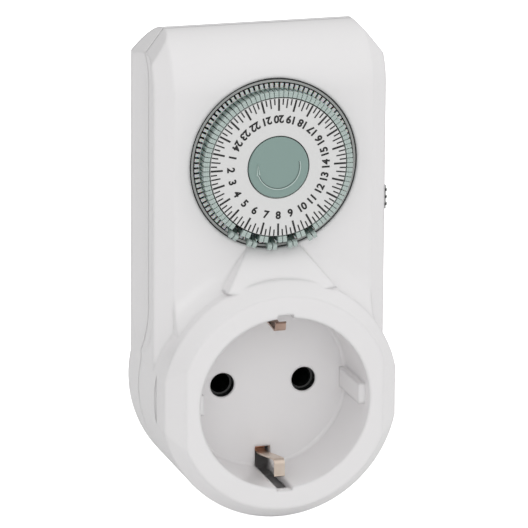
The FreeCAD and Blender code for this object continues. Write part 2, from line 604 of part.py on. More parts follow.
# Front cover with the outlet cup
cup = rod("cup", "s.cup_r + s.cup_wall", HEAD + " + 1", f"{FLOOR} + s.cup_floor")
front_bosses = [rod(f"front_boss_{i}", f"{boss_r}", f"{DIAL} + s.wall + s.boss_start", SEAM, str(x), str(z))
                for i, (x, z) in enumerate(screw_places)]
front_solid = fuse("front_solid", outer, head, flare, ramp)
front_shell = cut("front_shell", front_solid, inner,
                  rod("head_hollow", "s.body_half + s.foot_bulge - s.head_wall",
                      f"{HEAD} + s.head_bevel + s.head_shelf", f"{DIAL} + s.wall + s.head_back"),
                  block("behind_seam", "-" + FAR, FAR, SEAM, "0", "-" + FAR, FAR))
front_full = fuse("front_full", front_shell, cup, *front_bosses)
earth_slots = [
    block(f"earth_slot_{name}", "-s.slot_w / 2", "s.slot_w / 2", y0, f"{FLOOR} + s.cup_floor + 1", z0, z1)
    for name, y0, z0, z1 in (
        ("top", HEAD + " + s.slot_lip", SLOT_IN, "s.cup_r + s.cup_wall + s.slot_past"),
        ("top_mouth", HEAD + " - 1", SLOT_IN, "s.cup_r + s.slot_mouth"),
        ("bottom", HEAD + " + s.slot_lip", "-(s.cup_r + s.cup_wall + s.slot_past)", "-" + SLOT_IN),
        ("bottom_mouth", HEAD + " - 1", "-s.cup_r - s.slot_mouth", "-" + SLOT_IN))
]
screw_bores = [rod(f"screw_bore_{i}", "s.screw_r + s.fit_gap", f"{DIAL} + s.wall + s.bore_start",
                   f"{SEAM} + 1",
                   str(x), str(z))
               for i, (x, z) in enumerate(screw_places)]
window = block("slide_opening", "s.body_half - s.side_wall - s.bevel / 2", "s.body_half + 1",
               f"{DIAL} + s.slide_deep - s.slide_wide / 2", f"{DIAL} + s.slide_deep + s.slide_wide / 2",
               f"{SLIDE} - s.slide_window / 2", f"{SLIDE} + s.slide_window / 2")
front_cut = cut(
    "front_cut", front_full,
    rod("recess", "s.cup_r", HEAD + " - 1", f"{FLOOR} + s.cup_floor + 1"),
    rod("dial_hole", "s.hole_r", f"{DIAL} - s.head_rise", f"{DIAL} + s.wall + 1", "0", "s.dial_up"),
    scoop("scoop_left", -1), scoop("scoop_right", 1), window, *earth_slots, *screw_bores)
guide_ribs = [
    block(f"rib_{name}", x0, x1, f"{HEAD} + s.rib_back", f"{FLOOR} - s.fit_gap", "-s.rib_w / 2",
          "s.rib_w / 2")
    for name, x0, x1 in (("right", "s.cup_r - s.rib_high", "s.cup_r + s.cup_wall / 2"),
                         ("left", "-s.cup_r - s.cup_wall / 2", "-s.cup_r + s.rib_high"))
]
front_cover = keep(fuse("front_cover", front_cut, *guide_ribs), "front_cover")

# Floor disc of the outlet with its two pin holes
floor_disc = rod("floor_disc", "s.cup_r - s.fit_gap", FLOOR, f"{FLOOR} + s.cup_floor")
pin_holes = [
    rod("hole_right", "s.cup_hole_r", f"{FLOOR} - 1", f"{FLOOR} + s.cup_floor + 1", PIN),
    rod("hole_left", "s.cup_hole_r", f"{FLOOR} - 1", f"{FLOOR} + s.cup_floor + 1", "-" + PIN)]
outlet_floor = keep(cut("outlet_floor", floor_disc, *pin_holes, *earth_slots), "outlet_floor")

# Rear cover with the plug body
rear_shell = cut("rear_shell", fuse("rear_outer", outer, rod("plug_drum", "s.plug_r", f"{BACK} - 1", "0")),
                 fuse("rear_inner", inner, rod("plug_hollow", "s.plug_r - s.plug_wall",
                                               f"{BACK} - s.wall - 1", "-s.plug_face_wall")),
                 block("before_seam", "-" + FAR, FAR, "-" + FAR, f"{SEAM} + s.seam_gap", "-" + FAR, FAR))
rear_bosses = [rod(f"rear_boss_{i}", "s.screw_r + s.rear_boss_wall", f"{SEAM} + s.seam_gap",
                   f"{BACK} - {LAP}", str(x),
                   str(z))
               for i, (x, z) in enumerate(screw_places)]
foot_x = body_half - foot_side
plate_feet = [(-foot_x, dial_up - plate_below + foot_above), (foot_x, dial_up - foot_drop),
              (-foot_x, dial_up + plate_above - foot_under)]
rear_feet = [rod(f"plate_foot_{i}", "s.foot_post_r", f"{PLATE} + s.plate_thick", f"{BACK} - s.wall / 2",
                 str(x), str(z))
             for i, (x, z) in enumerate(plate_feet)]
rear_full = fuse("rear_full", rear_shell, *rear_bosses, *rear_feet)
pin_seats = [rod(f"pin_seat_{name}", "s.pin_neck_r + s.run_gap", "-s.plug_face_wall - 1", "1", x)
             for name, x in (("right", PIN), ("left", "-" + PIN))]
pin_sinks = [rod(f"pin_sink_{name}", "s.pin_r + s.pin_sink_gap", "-s.pin_sink", "1", x)
             for name, x in (("right", PIN), ("left", "-" + PIN))]
key_grooves = [block(f"key_groove_{name}", x0, x1, f"{BACK}", "1", "-s.key_w / 2", "s.key_w / 2")
               for name, x0, x1 in (("right", "s.plug_r - s.key_deep", "s.plug_r + 1"),
                                    ("left", "-s.plug_r - 1", "-s.plug_r + s.key_deep"))]
rear_screw_bores = [rod(f"rear_screw_bore_{i}", "s.screw_r + s.fit_gap", f"{SEAM} - 1", "1", str(x), str(z))
                    for i, (x, z) in enumerate(screw_places)]
rear_sinks = [rod(f"rear_sink_{i}", "s.screw_head_r + s.fit_gap",
                  f"{BACK} - s.screw_head - s.screw_sink - s.fit_gap", "1",
                  str(x), str(z))
              for i, (x, z) in enumerate(screw_places)]
earth_recesses = [block(f"earth_recess_{name}", f"-{half}", half, BACK, y1, z0, z1)
                  for name, half, y1, z0, z1 in (
                      ("top", "(s.strip_w + s.fit_gap)", "1", "s.plug_r - s.earth_seat", "s.plug_r + 1"),
                      ("bottom", "(s.strip_w + s.fit_gap)", "1", "-s.plug_r - 1", "-s.plug_r + s.earth_seat"),
                      ("top_pass", "(s.strip_w / 2 + s.fit_gap)", f"{BACK} + s.earth_pass",
                       "s.plug_r - s.plug_wall - 1", "s.plug_r + 1"),
                      ("bottom_pass", "(s.strip_w / 2 + s.fit_gap)", f"{BACK} + s.earth_pass",
                       "-s.plug_r - 1", "-s.plug_r + s.plug_wall + 1"))]
rear_cover = keep(cut("rear_cover", rear_full, *pin_seats, *pin_sinks, *key_grooves, *rear_screw_bores,
                      *rear_sinks,
                      *earth_recesses, scoop("rear_scoop_left", -1), scoop("rear_scoop_right",
                          1)), "rear_cover")


# Plug pins, sleeves and links behind the outlet
for name, side in (("live", "1"), ("neutral", "-1")):
    x = f"{side} * {PIN}"
    keep(fuse(f"plug_pin_{name}",
              rod(f"pin_neck_{name}", "s.pin_neck_r", "-s.plug_face_wall", "s.pin_neck_out", x),
              rod(f"pin_shank_{name}", "s.pin_r", "s.pin_neck_out", "s.pin_len - s.pin_r", x),
              taper(f"pin_nose_{name}", "s.pin_r", "s.pin_tip_r", "s.pin_len - s.pin_r", "s.pin_len", x),
              rod(f"pin_foot_{name}", "s.pin_foot_r", "-s.plug_face_wall - s.pin_foot", "-s.plug_face_wall",
                  x)),
         f"plug_pin_{name}")
    sleeve_y = f"{FLOOR} + s.cup_floor + s.sleeve_gap"
    keep(cut(f"contact_sleeve_{name}",
             rod(f"sleeve_out_{name}", "s.sleeve_bore + s.sleeve_wall", sleeve_y,
                 f"{sleeve_y} + s.sleeve_len", x),
             rod(f"sleeve_in_{name}", "s.sleeve_bore", f"{sleeve_y} - 1", f"{sleeve_y} + s.sleeve_len + 1",
                 x)),
         f"contact_sleeve_{name}")
sleeve_end = floor_y + cup_floor + sleeve_gap + sleeve_len
foot_end = -plug_face_wall - pin_foot
keep(block("neutral_link", f"-{PIN} - s.strip_w", f"-{PIN} + s.strip_w", f"{sleeve_end}", f"{foot_end}",
           "-s.strip_w / 2", "s.strip_w / 2"), "neutral_link")

# Copper strips of the live side: from the pin to the fixed contact, and from the moving contact to the sleeve
strip_far = pin_x + strip_w / 2
low_run = math.sqrt((plug_r - plug_wall) ** 2 - strip_far ** 2) - strip_inset
back_run = back_y - wall - strip_back
front_run = plate_y - strip_ahead
strip_end = -strip_w / 2
contact_z = dial_up - contact_drop
cross_z = cup_r + cup_wall + strip_over
keep(strip_body("live_input_strip", pin_x - strip_w / 2, [
    (foot_end - strip_thick / 2, strip_end), (foot_end - strip_thick / 2, low_run), (back_run, low_run),
    (back_run, cross_z), (front_run, cross_z), (front_run, contact_z + strip_w / 2),
], strip_thick, "s.strip_w"), "live_input_strip")
out_x = pin_x + sleeve_bore + sleeve_wall + out_gap
out_back = back_run - out_ahead
out_front = front_run - out_step
keep(strip_body("live_output_strip", out_x, [
    (out_back, strip_end), (out_back, contact_z - out_drop), (out_front, contact_z - out_drop),
    (out_front, contact_z + out_over),
], strip_thick, "s.strip_w"), "live_output_strip")
tab = block("sleeve_tab", f"{pin_x + sleeve_bore + sleeve_wall}", f"{out_x}", f"{out_back - tab_half}",
            f"{out_back + tab_half}", "-s.strip_w / 2", "s.strip_w / 2")
keep(tab, "sleeve_tab")

# Earth: sprung clips in the outlet, a bridge behind its floor, side contacts on the plug
clip_z = cup_r - clip_off
clip_tip = clip_z - clip_bow
bridge_y = floor_y + cup_floor + bridge_gap
# Depths under the outlet's face at which an earth clip bends, from its leg to its end in the rim
clip_bends = (6.3, 5.1, 3.9, 3.4, 1.3)
leg_z, side_z = plug_r - plug_wall - earth_under, plug_r - earth_out


def clip_route(side):
    """Route of an outlet earth clip in Y, Z; it bows into the recess near the mouth."""
    heights = (clip_z, clip_tip, clip_tip, clip_z + clip_off / 2, cup_r)
    bends = [(head_y + depth, side * height) for depth, height in zip(clip_bends, heights)]
    return [(bridge_y + 1.5 * clip_thick, side * clip_z)] + bends


for name, side in (("upper", 1), ("lower", -1)):
    keep(strip_body(f"earth_clip_{name}", -strip_w / 2, clip_route(side), clip_thick, "s.strip_w"),
         f"earth_clip_{name}")
    keep(strip_body(f"plug_earth_{name}", -strip_w / 2, [
        (bridge_y + 1.4, side * leg_z), (back_y - 0.6, side * leg_z), (back_y + 1.4, side * side_z),
        (-earth_end, side * side_z),
    ], clip_thick, "s.strip_w"), f"plug_earth_{name}")
keep(block("earth_bridge", "-s.strip_w / 2", "s.strip_w / 2", f"{bridge_y}", f"{bridge_y} + s.clip_thick",
           f"-{clip_z} + s.clip_thick / 2", f"{clip_z} - s.clip_thick / 2"), "earth_bridge")

# Mechanism plate with its gear posts and the dial's axle
wheel_tip = (wheel_teeth / 2 + TOOTH_UP) * fine_pitch
reach1 = (dial_teeth + pinion_teeth) * gear_pitch / 2
wheel1_x = body_half - side_wall - wheel_tip - train_room - train_step
wheel1 = (-wheel1_x, dial_up - math.sqrt(reach1 ** 2 - wheel1_x ** 2))
reach2 = (wheel_teeth + pinion_teeth) * fine_pitch / 2
wheel2 = (wheel1[0] - train_step, wheel1[1] + math.sqrt(reach2 ** 2 - train_step ** 2))
motor_z = dial_up + motor_over
motor = (wheel2[0] + math.sqrt(motor_reach ** 2 - (motor_z - wheel2[1]) ** 2), motor_z)
reach3 = (last_teeth + pinion_teeth) * fine_pitch / 2
span = math.dist(wheel2, motor)
along = (reach2 ** 2 - reach3 ** 2 + span ** 2) / (2 * span)
across = math.sqrt(reach2 ** 2 - along ** 2)
ux, uz = (motor[0] - wheel2[0]) / span, (motor[1] - wheel2[1]) / span
wheel3 = (wheel2[0] + along * ux - across * uz, wheel2[1] + along * uz + across * ux)
plate_edge = body_half - side_wall - plate_side
plate_low, plate_high = dial_up - plate_below, dial_up + plate_above
notch_x = lever_aside - notch_in
crown_right, crown_left = motor[0] + motor_r - crown_in, -high_x + boss_r + crown_gap
keep(plate_body("mechanism_plate", plate_y, [[
    (-plate_edge, plate_low), (notch_x, plate_low), (notch_x, plate_low + plate_notch),
    (plate_edge, plate_low + plate_notch), (plate_edge, plate_high), (crown_right, plate_high),
    (crown_right, plate_high + plate_crown), (crown_left, plate_high + plate_crown), (crown_left, plate_high),
    (-plate_edge, plate_high)]], "s.plate_thick",
    [(*motor, shaft_r + run_gap)]), "mechanism_plate")
keep(rod("dial_axle", "s.axle_r", f"{FACE} + s.face_thick + s.axle_short", PLATE, "0", "s.dial_up"),
     "dial_axle")
carrier_y = dial_y + carrier_deep
gear_y = carrier_y + carrier_thick + dial_gear_gap
wheel_ys = [dial_y + first_layer + i * layer_pitch for i in range(3)]
pinion_ys = [gear_y] + [y - layer_gap for y in wheel_ys]
for name, (x, z), y in zip(("first", "second", "third"), (wheel1, wheel2, wheel3), pinion_ys):
    keep(rod(f"{name}_axle", "s.post_r", f"{y}", PLATE, str(round(x, 6)), str(round(z, 6))), f"{name}_axle")


def toward(a, b):
    """Angle from a to b."""
    return math.atan2(b[1] - a[1], b[0] - a[0])


def mesh_phase(a, teeth_a, phase_a, b, teeth_b):
    """Phase of gear b whose gap meets the tooth that gear a points at it."""
    line = toward(a, b)
    offset = (line - phase_a) / (2 * math.pi / teeth_a)
    offset -= math.floor(offset)
    return line + math.pi + (offset + 0.5) * (2 * math.pi / teeth_b)


def further_pad(body, label, y0, length, outlines=(), circles=()):
    """Another pad on a body made by plate_body, again running back from y0."""
    plane = next(item for item in body.Origin.OriginFeatures if item.Role == "XZ_Plane")
    sketch = body.newObject("Sketcher::SketchObject", label + "_sketch")
    sketch.AttachmentSupport = [(plane, "")]
    sketch.MapMode = "FlatFace"
    sketch.AttachmentOffset = FreeCAD.Placement(V(0, 0, -y0), FreeCAD.Rotation())
    for outline in outlines:
        draw(sketch, outline)
    for x, z, radius in circles:
        sketch.addGeometry(Part.Circle(V(x, z, 0), V(0, 0, 1), radius), False)
    pad = body.newObject("PartDesign::Pad", label + "_pad")
    pad.Profile = sketch
    pad.Reversed = True
    bind(pad, Length=length)
    body.Tip = pad


def compound(order, name, centre, teeth, phase, pinion_module, pinion_phase):
    """Wheel and pinion on one axle: the pinion is in front of its wheel."""
    bore = [(*centre, post_r + run_gap)]
    body = plate_body(f"{name}_wheel", wheel_ys[order], [gear_outline(teeth, fine_pitch, *centre, phase,
        mesh_gap)],
                      "s.wheel_thick", bore)
    further_pad(body, f"{name}_pinion", pinion_ys[order],
                f"{wheel_ys[order] - pinion_ys[order]} + s.wheel_thick / 4",
                [gear_outline(pinion_teeth, pinion_module, *centre, pinion_phase, mesh_gap)], bore)
    return keep(body, f"{name}_wheel")


dial_centre = (0.0, dial_up)
phase = 0.0
compound(0, "first", wheel1, wheel_teeth, phase, gear_pitch,
         mesh_phase(dial_centre, dial_teeth, phase, wheel1, pinion_teeth))
compound(1, "second", wheel2, wheel_teeth, phase, fine_pitch,
         mesh_phase(wheel1, wheel_teeth, phase, wheel2, pinion_teeth))
compound(2, "third", wheel3, last_teeth, phase, fine_pitch,
         mesh_phase(wheel2, wheel_teeth, phase, wheel3, pinion_teeth))

# Motor behind the plate: can, coil, rotor with its pinion
motor_front = plate_y + plate_thick
motor_back = back_y - wall - can_back
coil_gap = can_wall + coil_room
mx, mz = str(motor[0]), str(round(motor[1], 6))
keep(cut("motor_can", rod("can_out", "s.motor_r", f"{motor_front}", f"{motor_back}", mx, mz),
         rod("can_in", "s.motor_r - s.can_wall", f"{motor_front} + s.can_wall",
             f"{motor_back} - s.can_wall", mx, mz),
         rod("can_eye", "s.shaft_r + s.run_gap", f"{motor_front - 1}", f"{motor_front + 1}", mx,
             mz)), "motor_can")
keep(cut("motor_coil", rod("coil_out", f"s.motor_r - {coil_gap}", f"{motor_front + coil_gap}",
                           f"{motor_back - coil_gap}", mx, mz),
         rod("coil_in", "s.coil_in_r", f"{motor_front}", f"{motor_back}", mx, mz)), "motor_coil")
rotor_y = pinion_ys[3]
magnet_y = motor_front + coil_gap + rotor_room
pinion_back = wheel_ys[2] + wheel_thick + layer_gap
rotor_body = plate_body("rotor", rotor_y, [gear_outline(
    pinion_teeth, fine_pitch, *motor, mesh_phase(wheel3, last_teeth, phase, motor, pinion_teeth), mesh_gap)],
    f"{pinion_back - rotor_y}")
further_pad(rotor_body, "rotor_shaft", pinion_back - LAP, f"{magnet_y + 2 * LAP - pinion_back}",
            circles=[(*motor, shaft_r)])
further_pad(rotor_body, "rotor_magnet", magnet_y, f"{motor_back - coil_gap - rotor_room - magnet_y}",
            circles=[(*motor, magnet_r)])
keep(rotor_body, "rotor")

# Dial: numbered face with skirt and hub, green cap, tappet carrier, gear
gear_back = gear_y + dial_gear_thick
dial_solid = fuse(
    "dial_solid",
    rod("face_plate", "s.face_r", FACE, f"{FACE} + s.face_thick", "0", "s.dial_up"),
    cut("dial_skirt", rod("skirt_out", "s.skirt_out_r", f"{FACE} + s.face_thick / 2", f"{carrier_y}", "0",
                          "s.dial_up"),
        rod("skirt_in", "s.skirt_in_r", FACE, f"{carrier_y + 1}", "0", "s.dial_up")),
    rod("dial_hub", "s.hub_r", f"{FACE} + s.face_thick / 2", f"{gear_back}", "0", "s.dial_up"))
keep(cut("dial_face", dial_solid,
         rod("cap_hollow", "s.cap_r + s.cap_gap", f"{FACE} - 1", f"{FACE} + s.cap_seat", "0", "s.dial_up"),
         rod("axle_bore", "s.axle_r + s.run_gap", f"{FACE} + s.face_thick", f"{gear_back + 1}", "0",
             "s.dial_up")),
     "dial_face")
keep(rod("dial_cap", "s.cap_r", f"{FACE} - s.cap_proud", f"{FACE} + s.cap_seat", "0", "s.dial_up"),
     "dial_cap")
keep(cut("tappet_carrier",
         rod("carrier_out", "s.carrier_r", f"{carrier_y} - s.lip_high", f"{carrier_y} + s.carrier_thick",
             "0", "s.dial_up"),
         rod("carrier_dish", "s.carrier_r - s.lip_thick", f"{carrier_y} - s.lip_high - 1", f"{carrier_y}",
             "0", "s.dial_up"),
         rod("carrier_eye", "s.carrier_in", f"{carrier_y - 1}", f"{carrier_y + 3}", "0",
             "s.dial_up")), "tappet_carrier")
keep(plate_body("dial_gear", gear_y, [gear_outline(dial_teeth, gear_pitch, *dial_centre, phase, mesh_gap)],
                "s.dial_gear_thick", [(*dial_centre, hub_r)]), "dial_gear")

# Tappets: 96 small levers that tilt on a wire ring; the ten that are set lean outwards
pivot_y = dial_y + pivot_deep
tappet_inner = face_r + cap_gap
set_quarters = [22, 23, 26, 27, 30, 31, 34, 35, 38, 39]
hour_below = 8.0
# Corners of the notch over the wire, as shares of the notch's radius
NOTCH_SLANT, NOTCH_PEAK = 0.72, 1.05


def tappet_shape(quarter, tilt):
    """One tappet at its place on the rim, tilted outwards by tilt degrees."""
    notch = wire_r + wire_gap
    under = pivot_y + notch_deep
    head = [(tappet_inner, face_y), (tappet_out, face_y), (tappet_out, dial_y), (tappet_stem_r, dial_y),
            (tappet_stem_r, face_y + tappet_head), (tappet_inner, face_y + tappet_head - head_slope)]
    slant, peak = notch * NOTCH_SLANT, notch * NOTCH_PEAK
    foot = [(tappet_stem_r, dial_y), (tappet_foot_r, dial_y), (tappet_foot_r, under),
            (pivot_r + notch, under), (pivot_r + slant, pivot_y - slant), (pivot_r, pivot_y - peak),
            (pivot_r - slant, pivot_y - slant), (pivot_r - notch, under), (tappet_stem_r, under)]
    pieces = []
    for profile, width in ((head, tappet_w), (foot, tappet_foot_w)):
        points = [V(r, y, -width / 2) for r, y in profile]
        pieces.append(Part.Face(Part.makePolygon(points + points[:1])).extrude(V(0, 0, width)))
    solid = pieces[0].fuse(pieces[1]).Solids[0]
    solid.rotate(V(pivot_r, pivot_y, 0), V(0, 0, 1), tilt)
    hour = (quarter + 0.5) / 4
    degrees = (hour - hour_below) * 360 / 24
    solid.rotate(V(), V(0, 1, 0), 90.0 - degrees)
    solid.translate(V(0, 0, dial_up))
    return solid


idle = doc.addObject("Part::Feature", "tappets")
idle.Shape = Part.makeCompound([tappet_shape(k, 0.0) for k in range(tappet_count) if k not in set_quarters])
keep(idle, "tappets")
for number, quarter in enumerate(set_quarters, 1):
    lever = doc.addObject("Part::Feature", f"set_tappet_{number:02d}")
    lever.Shape = tappet_shape(quarter, tappet_tilt)
    keep(lever, f"set_tappet_{number:02d}")
ring = doc.addObject("Part::Torus", "tappet_wire")
ring.Placement = FreeCAD.Placement(V(), FreeCAD.Rotation(V(1, 0, 0), -90))
bind(ring, Radius1="s.pivot_r", Radius2="s.wire_r", Placement__Base__y=f"{pivot_y}",
     Placement__Base__z="s.dial_up")
keep(ring, "tappet_wire")

# Switch: lever beside the dial's rim, sprung leaf with its contact, fixed contact
lever_pivot = (lever_aside, dial_up - lever_drop)
lever_tip = (lever_pivot[0] + lever_out, lever_pivot[1] + lever_up)
# The lever's outline from its axle, across and up
lever_form = [(-1.7, -1.4), (1.6, -1.6), (7.0, 1.6), (7.6, 4.0), (5.4, 4.9), (-1.7, 1.6)]
lever_y = dial_y + lever_deep
nose_y = dial_y + wall + nose_gap
keep(rod("lever_axle", "s.post_r", f"{lever_y} - s.axle_ahead", PLATE, str(lever_pivot[0]),
         str(lever_pivot[1])),
     "lever_axle")
lever_outline = [(lever_pivot[0] + x, lever_pivot[1] + z) for x, z in lever_form]
arm = plate_body("lever_arm", lever_y, [lever_outline], "s.lever_thick", [(*lever_pivot, post_r + run_gap)])
keep(fuse("switch_lever", arm, rod("lever_nose", "s.nose_r", f"{nose_y}", f"{lever_y} + s.lever_thick / 2",
                                   str(lever_tip[0]), str(lever_tip[1]))), "switch_lever")
leaf_y = front_run - leaf_ahead
leaf_z = contact_z - leaf_low
keep(fuse("moving_contact",
          block("leaf", f"{pin_x - leaf_end}", f"{out_x + leaf_end}", f"{leaf_y}", f"{leaf_y} + s.leaf_thick",
                f"{leaf_z} - s.leaf_half", f"{leaf_z} + s.leaf_half"),
          rod("moving_rivet", "s.rivet_r", f"{leaf_y + leaf_thick / 2}",
              f"{leaf_y + leaf_thick} + s.rivet_high + s.fit_gap", PIN, f"{leaf_z}")), "moving_contact")
keep(rod("fixed_contact", "s.rivet_r", f"{front_run - strip_thick / 2} - s.rivet_high",
         f"{front_run - strip_thick / 2}", PIN, f"{leaf_z}"), "fixed_contact")
keep(block("leaf_foot", f"{out_x} + s.leaf_foot_in", f"{out_x} + s.strip_w",
           f"{leaf_y + leaf_thick} + s.leaf_gap", f"{out_front - strip_thick / 2}",
           f"{leaf_z} - s.leaf_half", f"{leaf_z} + s.leaf_half"), "leaf_foot")

# Override slide in the right-hand side
slide_y = dial_y + slide_deep
knob_top = slide_up + slide_window / 2 - slide_gap
knob_low = knob_top - (slide_window - slide_travel - 2 * slide_gap)
knob_half = slide_wide / 2 - slide_gap
side_in = body_half - side_wall
ridges = [block(f"ridge_{i}", "s.body_half - 2 * s.ridge_half", "s.body_half + s.ridge_proud",
                f"{slide_y} - s.ridge_long", f"{slide_y} + s.ridge_long", f"{z} - s.ridge_half",
                f"{z} + s.ridge_half")
          for i, z in enumerate(knob_low + ridge_first + step * ridge_pitch for step in range(3))]
keep(fuse("override_slide",
          block("knob", f"{side_in} - s.knob_root", "s.body_half - s.knob_under",
                f"{slide_y - knob_half}", f"{slide_y + knob_half}", f"{knob_low}", f"{knob_top}"),
          block("knob_flange", f"{side_in} - s.flange_gap - s.flange_thick", f"{side_in} - s.flange_gap",
                f"{slide_y} - s.flange_ahead", f"{slide_y} + s.flange_back",
                f"{knob_low} - s.flange_over", f"{knob_top} + s.flange_over"),
          block("knob_arm", f"{lever_tip[0]} + s.arm_gap", f"{side_in + LAP} - s.flange_gap - s.flange_thick",
                f"{slide_y} - s.arm_ahead", f"{slide_y} + s.arm_back",
                f"{knob_low} + s.arm_low", f"{knob_low} + s.arm_low + s.arm_high"),
          *ridges), "override_slide")

# Housing screws: four of a kind in one node
screws = []
for i, (x, z) in enumerate(screw_places):
    head_front = back_y - screw_head - screw_sink
    screws.append(cut(f"screw_{i}", fuse(
        f"screw_solid_{i}",
        rod(f"screw_head_{i}", "s.screw_head_r", f"{head_front}", f"{head_front} + s.screw_head", str(x),
            str(z)),
        rod(f"screw_shank_{i}", "s.screw_r", f"{dial_y + wall + bore_start + screw_short}",
            f"{head_front + LAP}", str(x),
            str(z))),
        block(f"screw_slot_{i}", f"{x} - s.slot_long", f"{x} + s.slot_long",
              f"{head_front + screw_head} - s.slot_deep", f"{head_front + screw_head + 1}",
              f"{z} - s.slot_half", f"{z} + s.slot_half")))
group = doc.addObject("Part::Compound", "housing_screws")
group.Links = screws
keep(group, "housing_screws")


def check():
    """Stop if any object failed or any finished piece is empty or invalid."""
    doc.recompute()
    for thing in doc.Objects:
        if "Invalid" in thing.State or "Error" in thing.State:
            raise RuntimeError(f"{thing.Name} failed: {thing.State}")
    for thing in made_parts:
        if thing.Shape.isNull() or not thing.Shape.isValid():
            raise RuntimeError(f"{thing.Label} has no valid shape")


check()
os.makedirs("parts", exist_ok=True)
for thing in made_parts:
    thing.Shape.exportStep(f"parts/{thing.Label}.step")
    print(f"{thing.Label}: {len(thing.Shape.Solids)} solid(s), {thing.Shape.Volume:.1f} mm3")
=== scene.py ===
"""Looks of a plug-in timer switch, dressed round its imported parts.

The scene is in metres, +Z up and +X to the right, and the dial and the outlet face -Y.
The origin is the centre of the plug's end face.
"""
import json
import logging
import math
from dataclasses import dataclass, field
from enum import Enum
from typing import Any, Sequence

import bmesh
import bpy
from mathutils import Matrix, Vector


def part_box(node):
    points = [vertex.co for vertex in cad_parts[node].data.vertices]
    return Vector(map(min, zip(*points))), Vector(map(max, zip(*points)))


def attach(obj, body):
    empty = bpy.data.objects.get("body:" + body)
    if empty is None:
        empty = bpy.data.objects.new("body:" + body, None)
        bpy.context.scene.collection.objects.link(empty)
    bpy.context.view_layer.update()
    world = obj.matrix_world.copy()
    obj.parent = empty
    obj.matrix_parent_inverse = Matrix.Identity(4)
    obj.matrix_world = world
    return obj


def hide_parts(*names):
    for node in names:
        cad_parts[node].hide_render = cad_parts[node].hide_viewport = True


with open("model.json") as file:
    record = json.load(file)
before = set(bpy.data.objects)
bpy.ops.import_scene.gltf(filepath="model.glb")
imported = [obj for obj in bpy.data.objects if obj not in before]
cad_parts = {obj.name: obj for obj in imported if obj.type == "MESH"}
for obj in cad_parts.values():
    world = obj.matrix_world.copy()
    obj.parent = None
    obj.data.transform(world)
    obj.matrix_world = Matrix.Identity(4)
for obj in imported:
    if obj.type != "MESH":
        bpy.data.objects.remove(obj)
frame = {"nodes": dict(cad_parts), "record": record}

LOG = logging.getLogger("timer_switch")
MM = 0.001
Colour = tuple[float, float, float]
Socket = bpy.types.NodeSocket
DIAL_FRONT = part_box("dial_face")[0].y

QUARTER_TURN = math.pi / 2
NEAR_AXIS = 0.0001 * MM
FLAT_ACROSS = 0.999

GRAIN_HEIGHT = 0.02 * MM
BEVEL_SAMPLES = 8
# Depths behind the dial's face over which painted shade comes in on the tappets.
SHADE_START, SHADE_END = 0.15 * MM, 1.9 * MM
PLASTIC_IOR = 1.5
COAT_ROUGHNESS = 0.12
STAIN_SCALE = 350.0
LINE_GLOSS = 0.16
LINE_STRENGTH = 0.12
LINE_HEIGHT = 0.01 * MM


class Slot(Enum):
    """Material slots of the record."""

    HOUSING = "housing_plastic"
    DIAL = "dial_plastic"
    CAP = "cap_plastic"
    TAPPET = "tappet_plastic"
    CARRIER = "carrier_plastic"
    GEAR = "gear_plastic"
    STEEL = "steel"
    NICKEL = "nickel"
    BRASS = "brass"
    COPPER = "copper"


class Body(Enum):
    """Moving bodies that pieces of the scene ride on."""

    HOUSING = "housing"
    DIAL = "dial"


class Graph:
    """Adds and joins the nodes of one node tree."""

    def __init__(self, tree: bpy.types.NodeTree) -> None:
        """Keep the tree that the nodes go into."""
        self.tree = tree

    def add(self, kind: str, inputs: dict[int | str, Any] | None = None, **settings: Any) -> bpy.types.Node:
        """Add a node.

        Args:
            kind: Blender's name of the node's type.
            inputs: Values or sockets for its inputs, by index or name.
            **settings: Properties of the node that are set first.

        Returns:
            The new node.
        """
        node = self.tree.nodes.new(kind)
        for name, value in settings.items():
            setattr(node, name, value)
        for key, value in (inputs or {}).items():
            if isinstance(value, bpy.types.NodeSocket):
                self.tree.links.new(value, node.inputs[key])
            else:
                node.inputs[key].default_value = value
        return node

    def math(self, operation: str, first: Socket | float, second: Socket | float = 0.0) -> Socket:
        """Return the result of a math node on one or two values."""
        return self.add("ShaderNodeMath", {0: first, 1: second}, operation=operation).outputs[0]

    def link(self, source: Socket, node: bpy.types.Node, target: int | str) -> None:
        """Join an output to a node's input."""
        self.tree.links.new(source, node.inputs[target])


def new_group(name: str, kind: str, inputs: dict[str, tuple[str, Any]], outputs: dict[str, str]) -> Graph:
    """Make a node group with named sockets.

    Args:
        name: Name of the group.
        kind: ShaderNodeTree or GeometryNodeTree.
        inputs: Socket type and default value of each named input.
        outputs: Socket type of each named output.

    Returns:
        A graph on the new group.
    """
    tree = bpy.data.node_groups.new(name, kind)
    for title, (socket_type, value) in inputs.items():
        socket = tree.interface.new_socket(title, in_out="INPUT", socket_type=socket_type)
        if value is not None:
            socket.default_value = value
    for title, socket_type in outputs.items():
        tree.interface.new_socket(title, in_out="OUTPUT", socket_type=socket_type)
    return Graph(tree)


